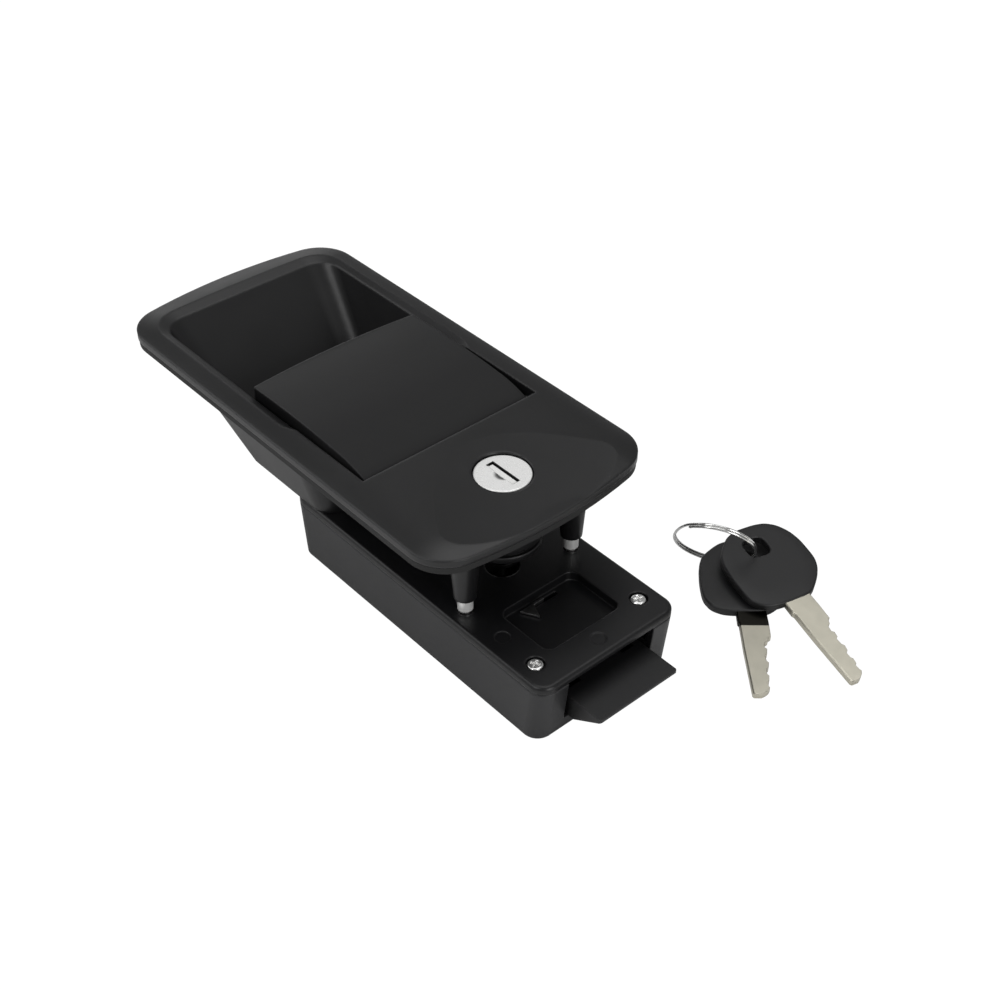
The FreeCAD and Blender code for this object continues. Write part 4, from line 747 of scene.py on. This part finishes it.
print("keys at:", {key_name: place["at"] for key_name, place in KEY_PLACES.items()})

# %% [markdown]
# ## Key heads
# The moulded heads have short flats all round and a hole for the ring. A flat outline could be
# extruded and the hole cut out, but the cut leaves uneven faces. Here both outlines are measured
# along the same rays from the middle of the hole, so that rows of points run from one to the other.

# %% Compute the key head
HEAD_THICK, HEAD_EDGE, HOLE_EDGE = 2.9, 0.7, 0.3
HEAD_OUTLINE = [(15.5, -5.0), (15.1, -8.4), (13.4, -11.8), (9.6, -14.0), (2.6, -14.4), (-4.2, -14.0),
                (-8.4, -12.7), (-13.7, -7.6), (-15.5, -3.4), (-15.5, 3.6), (-14.7, 7.6), (-12.3, 10.8),
                (-8.6, 13.0), (-4.2, 14.1), (3.6, 14.2), (7.2, 12.9), (10.6, 10.4), (14.0, 6.8), (15.3, 4.4)]
HOLE = [(-10.6, -4.3), (-3.2, -4.3), (-3.2, 3.4), (-10.6, 3.4)]
HOLE_MIDDLE = np.array((-6.9, -0.45))
CORNER_CUT = 0.2
FLAT_ROWS = np.array((0.33, 0.66))     # rows on the flat faces, as shares of the way outwards
EDGE_ROWS = 6                          # rows round each half of the outer edge
PARALLEL = 1e-12                       # a cross product smaller than this counts as parallel
TOUCHING = 1e-9                        # a ray may pass a side's end by this share


def round_corners(corners, times):
    """Each time, puts two points on every side, a fifth of it from either end, and drops the corners."""
    loop = np.array(corners, float)
    for _ in range(times):
        ahead = np.roll(loop, -1, axis=0)
        cut = [(1 - CORNER_CUT) * loop + CORNER_CUT * ahead, CORNER_CUT * loop + (1 - CORNER_CUT) * ahead]
        loop = np.stack(cut, axis=1).reshape(-1, 2)
    return loop


def reach(loop, angles):
    """How far each ray from the hole's middle goes to the loop: for a side from p with direction d,
    the ray with direction e meets it where the cross products p x d and e x d have the ratio r."""
    p = loop - HOLE_MIDDLE
    d = np.roll(p, -1, axis=0) - p
    e = np.stack([np.cos(angles), np.sin(angles)], axis=1)
    cross_ed = e[:, :1] * d[None, :, 1] - e[:, 1:] * d[None, :, 0]
    cross_ed = np.where(np.abs(cross_ed) < PARALLEL, PARALLEL, cross_ed)
    r = (p[:, 0] * d[:, 1] - p[:, 1] * d[:, 0])[None, :] / cross_ed
    share = (p[None, :, 0] * e[:, 1:] - p[None, :, 1] * e[:, :1]) / cross_ed
    hit = (r > 0) & (share >= -TOUCHING) & (share <= 1 + TOUCHING)
    return np.where(hit, r, np.inf).min(axis=1)


def head_grid(points=320):
    """Rows go from the hole's lower edge up its wall, over the top, round the outer edge and back. The
    outer edge is two quarter circles: for an angle b, HEAD_EDGE times one minus sin b inwards, and
    HEAD_EDGE times one minus cos b away from the flat face."""
    angles = np.linspace(0.0, 2 * np.pi, points, endpoint=False)
    inner = reach(round_corners(HOLE, times=3), angles)
    outer = reach(round_corners(HEAD_OUTLINE, times=2), angles)
    rim, flat = inner + HOLE_EDGE, outer - HEAD_EDGE
    bends = np.linspace(0.0, np.pi / 2, EDGE_ROWS)
    edge = [(outer - HEAD_EDGE * (1 - math.sin(b)), HEAD_EDGE * (1 - math.cos(b))) for b in bends]
    rows = [(rim, 0.0), (inner, HOLE_EDGE), (inner, HEAD_THICK - HOLE_EDGE), (rim, HEAD_THICK)]
    rows += [(rim + (flat - rim) * share, HEAD_THICK) for share in FLAT_ROWS]
    rows += [(reached, HEAD_THICK - away) for reached, away in edge]
    rows += edge[::-1]
    rows += [(rim + (flat - rim) * share, 0.0) for share in FLAT_ROWS[::-1]]
    ray = np.stack([np.cos(angles), np.sin(angles)], axis=1)
    layers = [np.column_stack([HOLE_MIDDLE + r[:, None] * ray, np.full(points, z)]) for r, z in rows]
    return np.stack(layers)


HEAD = head_grid()
print("key head: rows", HEAD.shape[0], "points in each", HEAD.shape[1])

# %% [markdown]
# ## Key blades, and both keys in place
# The blades have a straight edge on one side, and on the other a step after the shoulder and
# shallow uneven cuts. The CAD's groove hardly shows in the photograph and is left out. Both edges
# are lists of places along and across the blade, and one small section is carried between them.
# Head and blade are computed once, and each key is then the same two pieces in its own place.

# %% Compute the blade and place both keys
BLADE_LOW, BLADE_HIGH = 0.45, 2.45
BLADE_BEVEL, BLADE_ROUND = 0.35, 0.1     # along the near edge, and along the far one
BLADE_STEPS = 120
NEAR_EDGE = [(12.0, -4.4), (19.4, -4.4), (20.0, -4.0), (30.0, -3.8), (47.2, -3.0), (47.8, -2.6)]
FAR_EDGE = [(12.0, 4.4), (20.0, 4.7), (25.4, 4.7), (26.0, 3.9), (27.2, 3.5), (28.0, 2.5), (29.8, 2.3),
            (30.4, 3.0), (32.2, 2.8), (32.8, 2.1), (35.0, 2.3), (35.8, 2.9), (37.6, 2.6), (38.4, 1.8),
            (40.2, 1.9), (40.8, 2.4), (42.6, 2.2), (43.2, 1.6), (44.8, 1.8), (45.4, 2.1), (46.4, 1.5),
            (47.2, 0.6), (47.8, -0.4)]


def blade_grid():
    """One closed section across the blade for every place along it, six points that follow straight
    lines between the points of either edge."""
    near_x, near_y = np.transpose(NEAR_EDGE)
    far_x, far_y = np.transpose(FAR_EDGE)
    even = np.linspace(near_x[0], near_x[-1], BLADE_STEPS)
    x = np.unique(np.concatenate([near_x, far_x, even]))
    near, far = np.interp(x, near_x, near_y), np.interp(x, far_x, far_y)
    section = [(near, BLADE_LOW), (near, BLADE_HIGH - BLADE_BEVEL), (near + BLADE_BEVEL, BLADE_HIGH),
               (far - BLADE_ROUND, BLADE_HIGH), (far, BLADE_HIGH - BLADE_ROUND), (far, BLADE_LOW)]
    return np.stack([np.column_stack([x, y, np.full_like(x, z)]) for y, z in section], axis=1)


BLADE = blade_grid()
for key_name, place in KEY_PLACES.items():
    # the rear blade gets painted shade after its shoulder
    blade_finish = "shaded_nickel" if key_name == "rear" else "nickel_silver"
    add_piece(key_name + "_bow", key_frame(HEAD, **place), "head_black",
              key_name + "_key_head", ring=True)
    add_piece(key_name + "_blade", key_frame(BLADE, **place), blade_finish,
              key_name + "_key_blade", along=BLADE[:, :, 0])
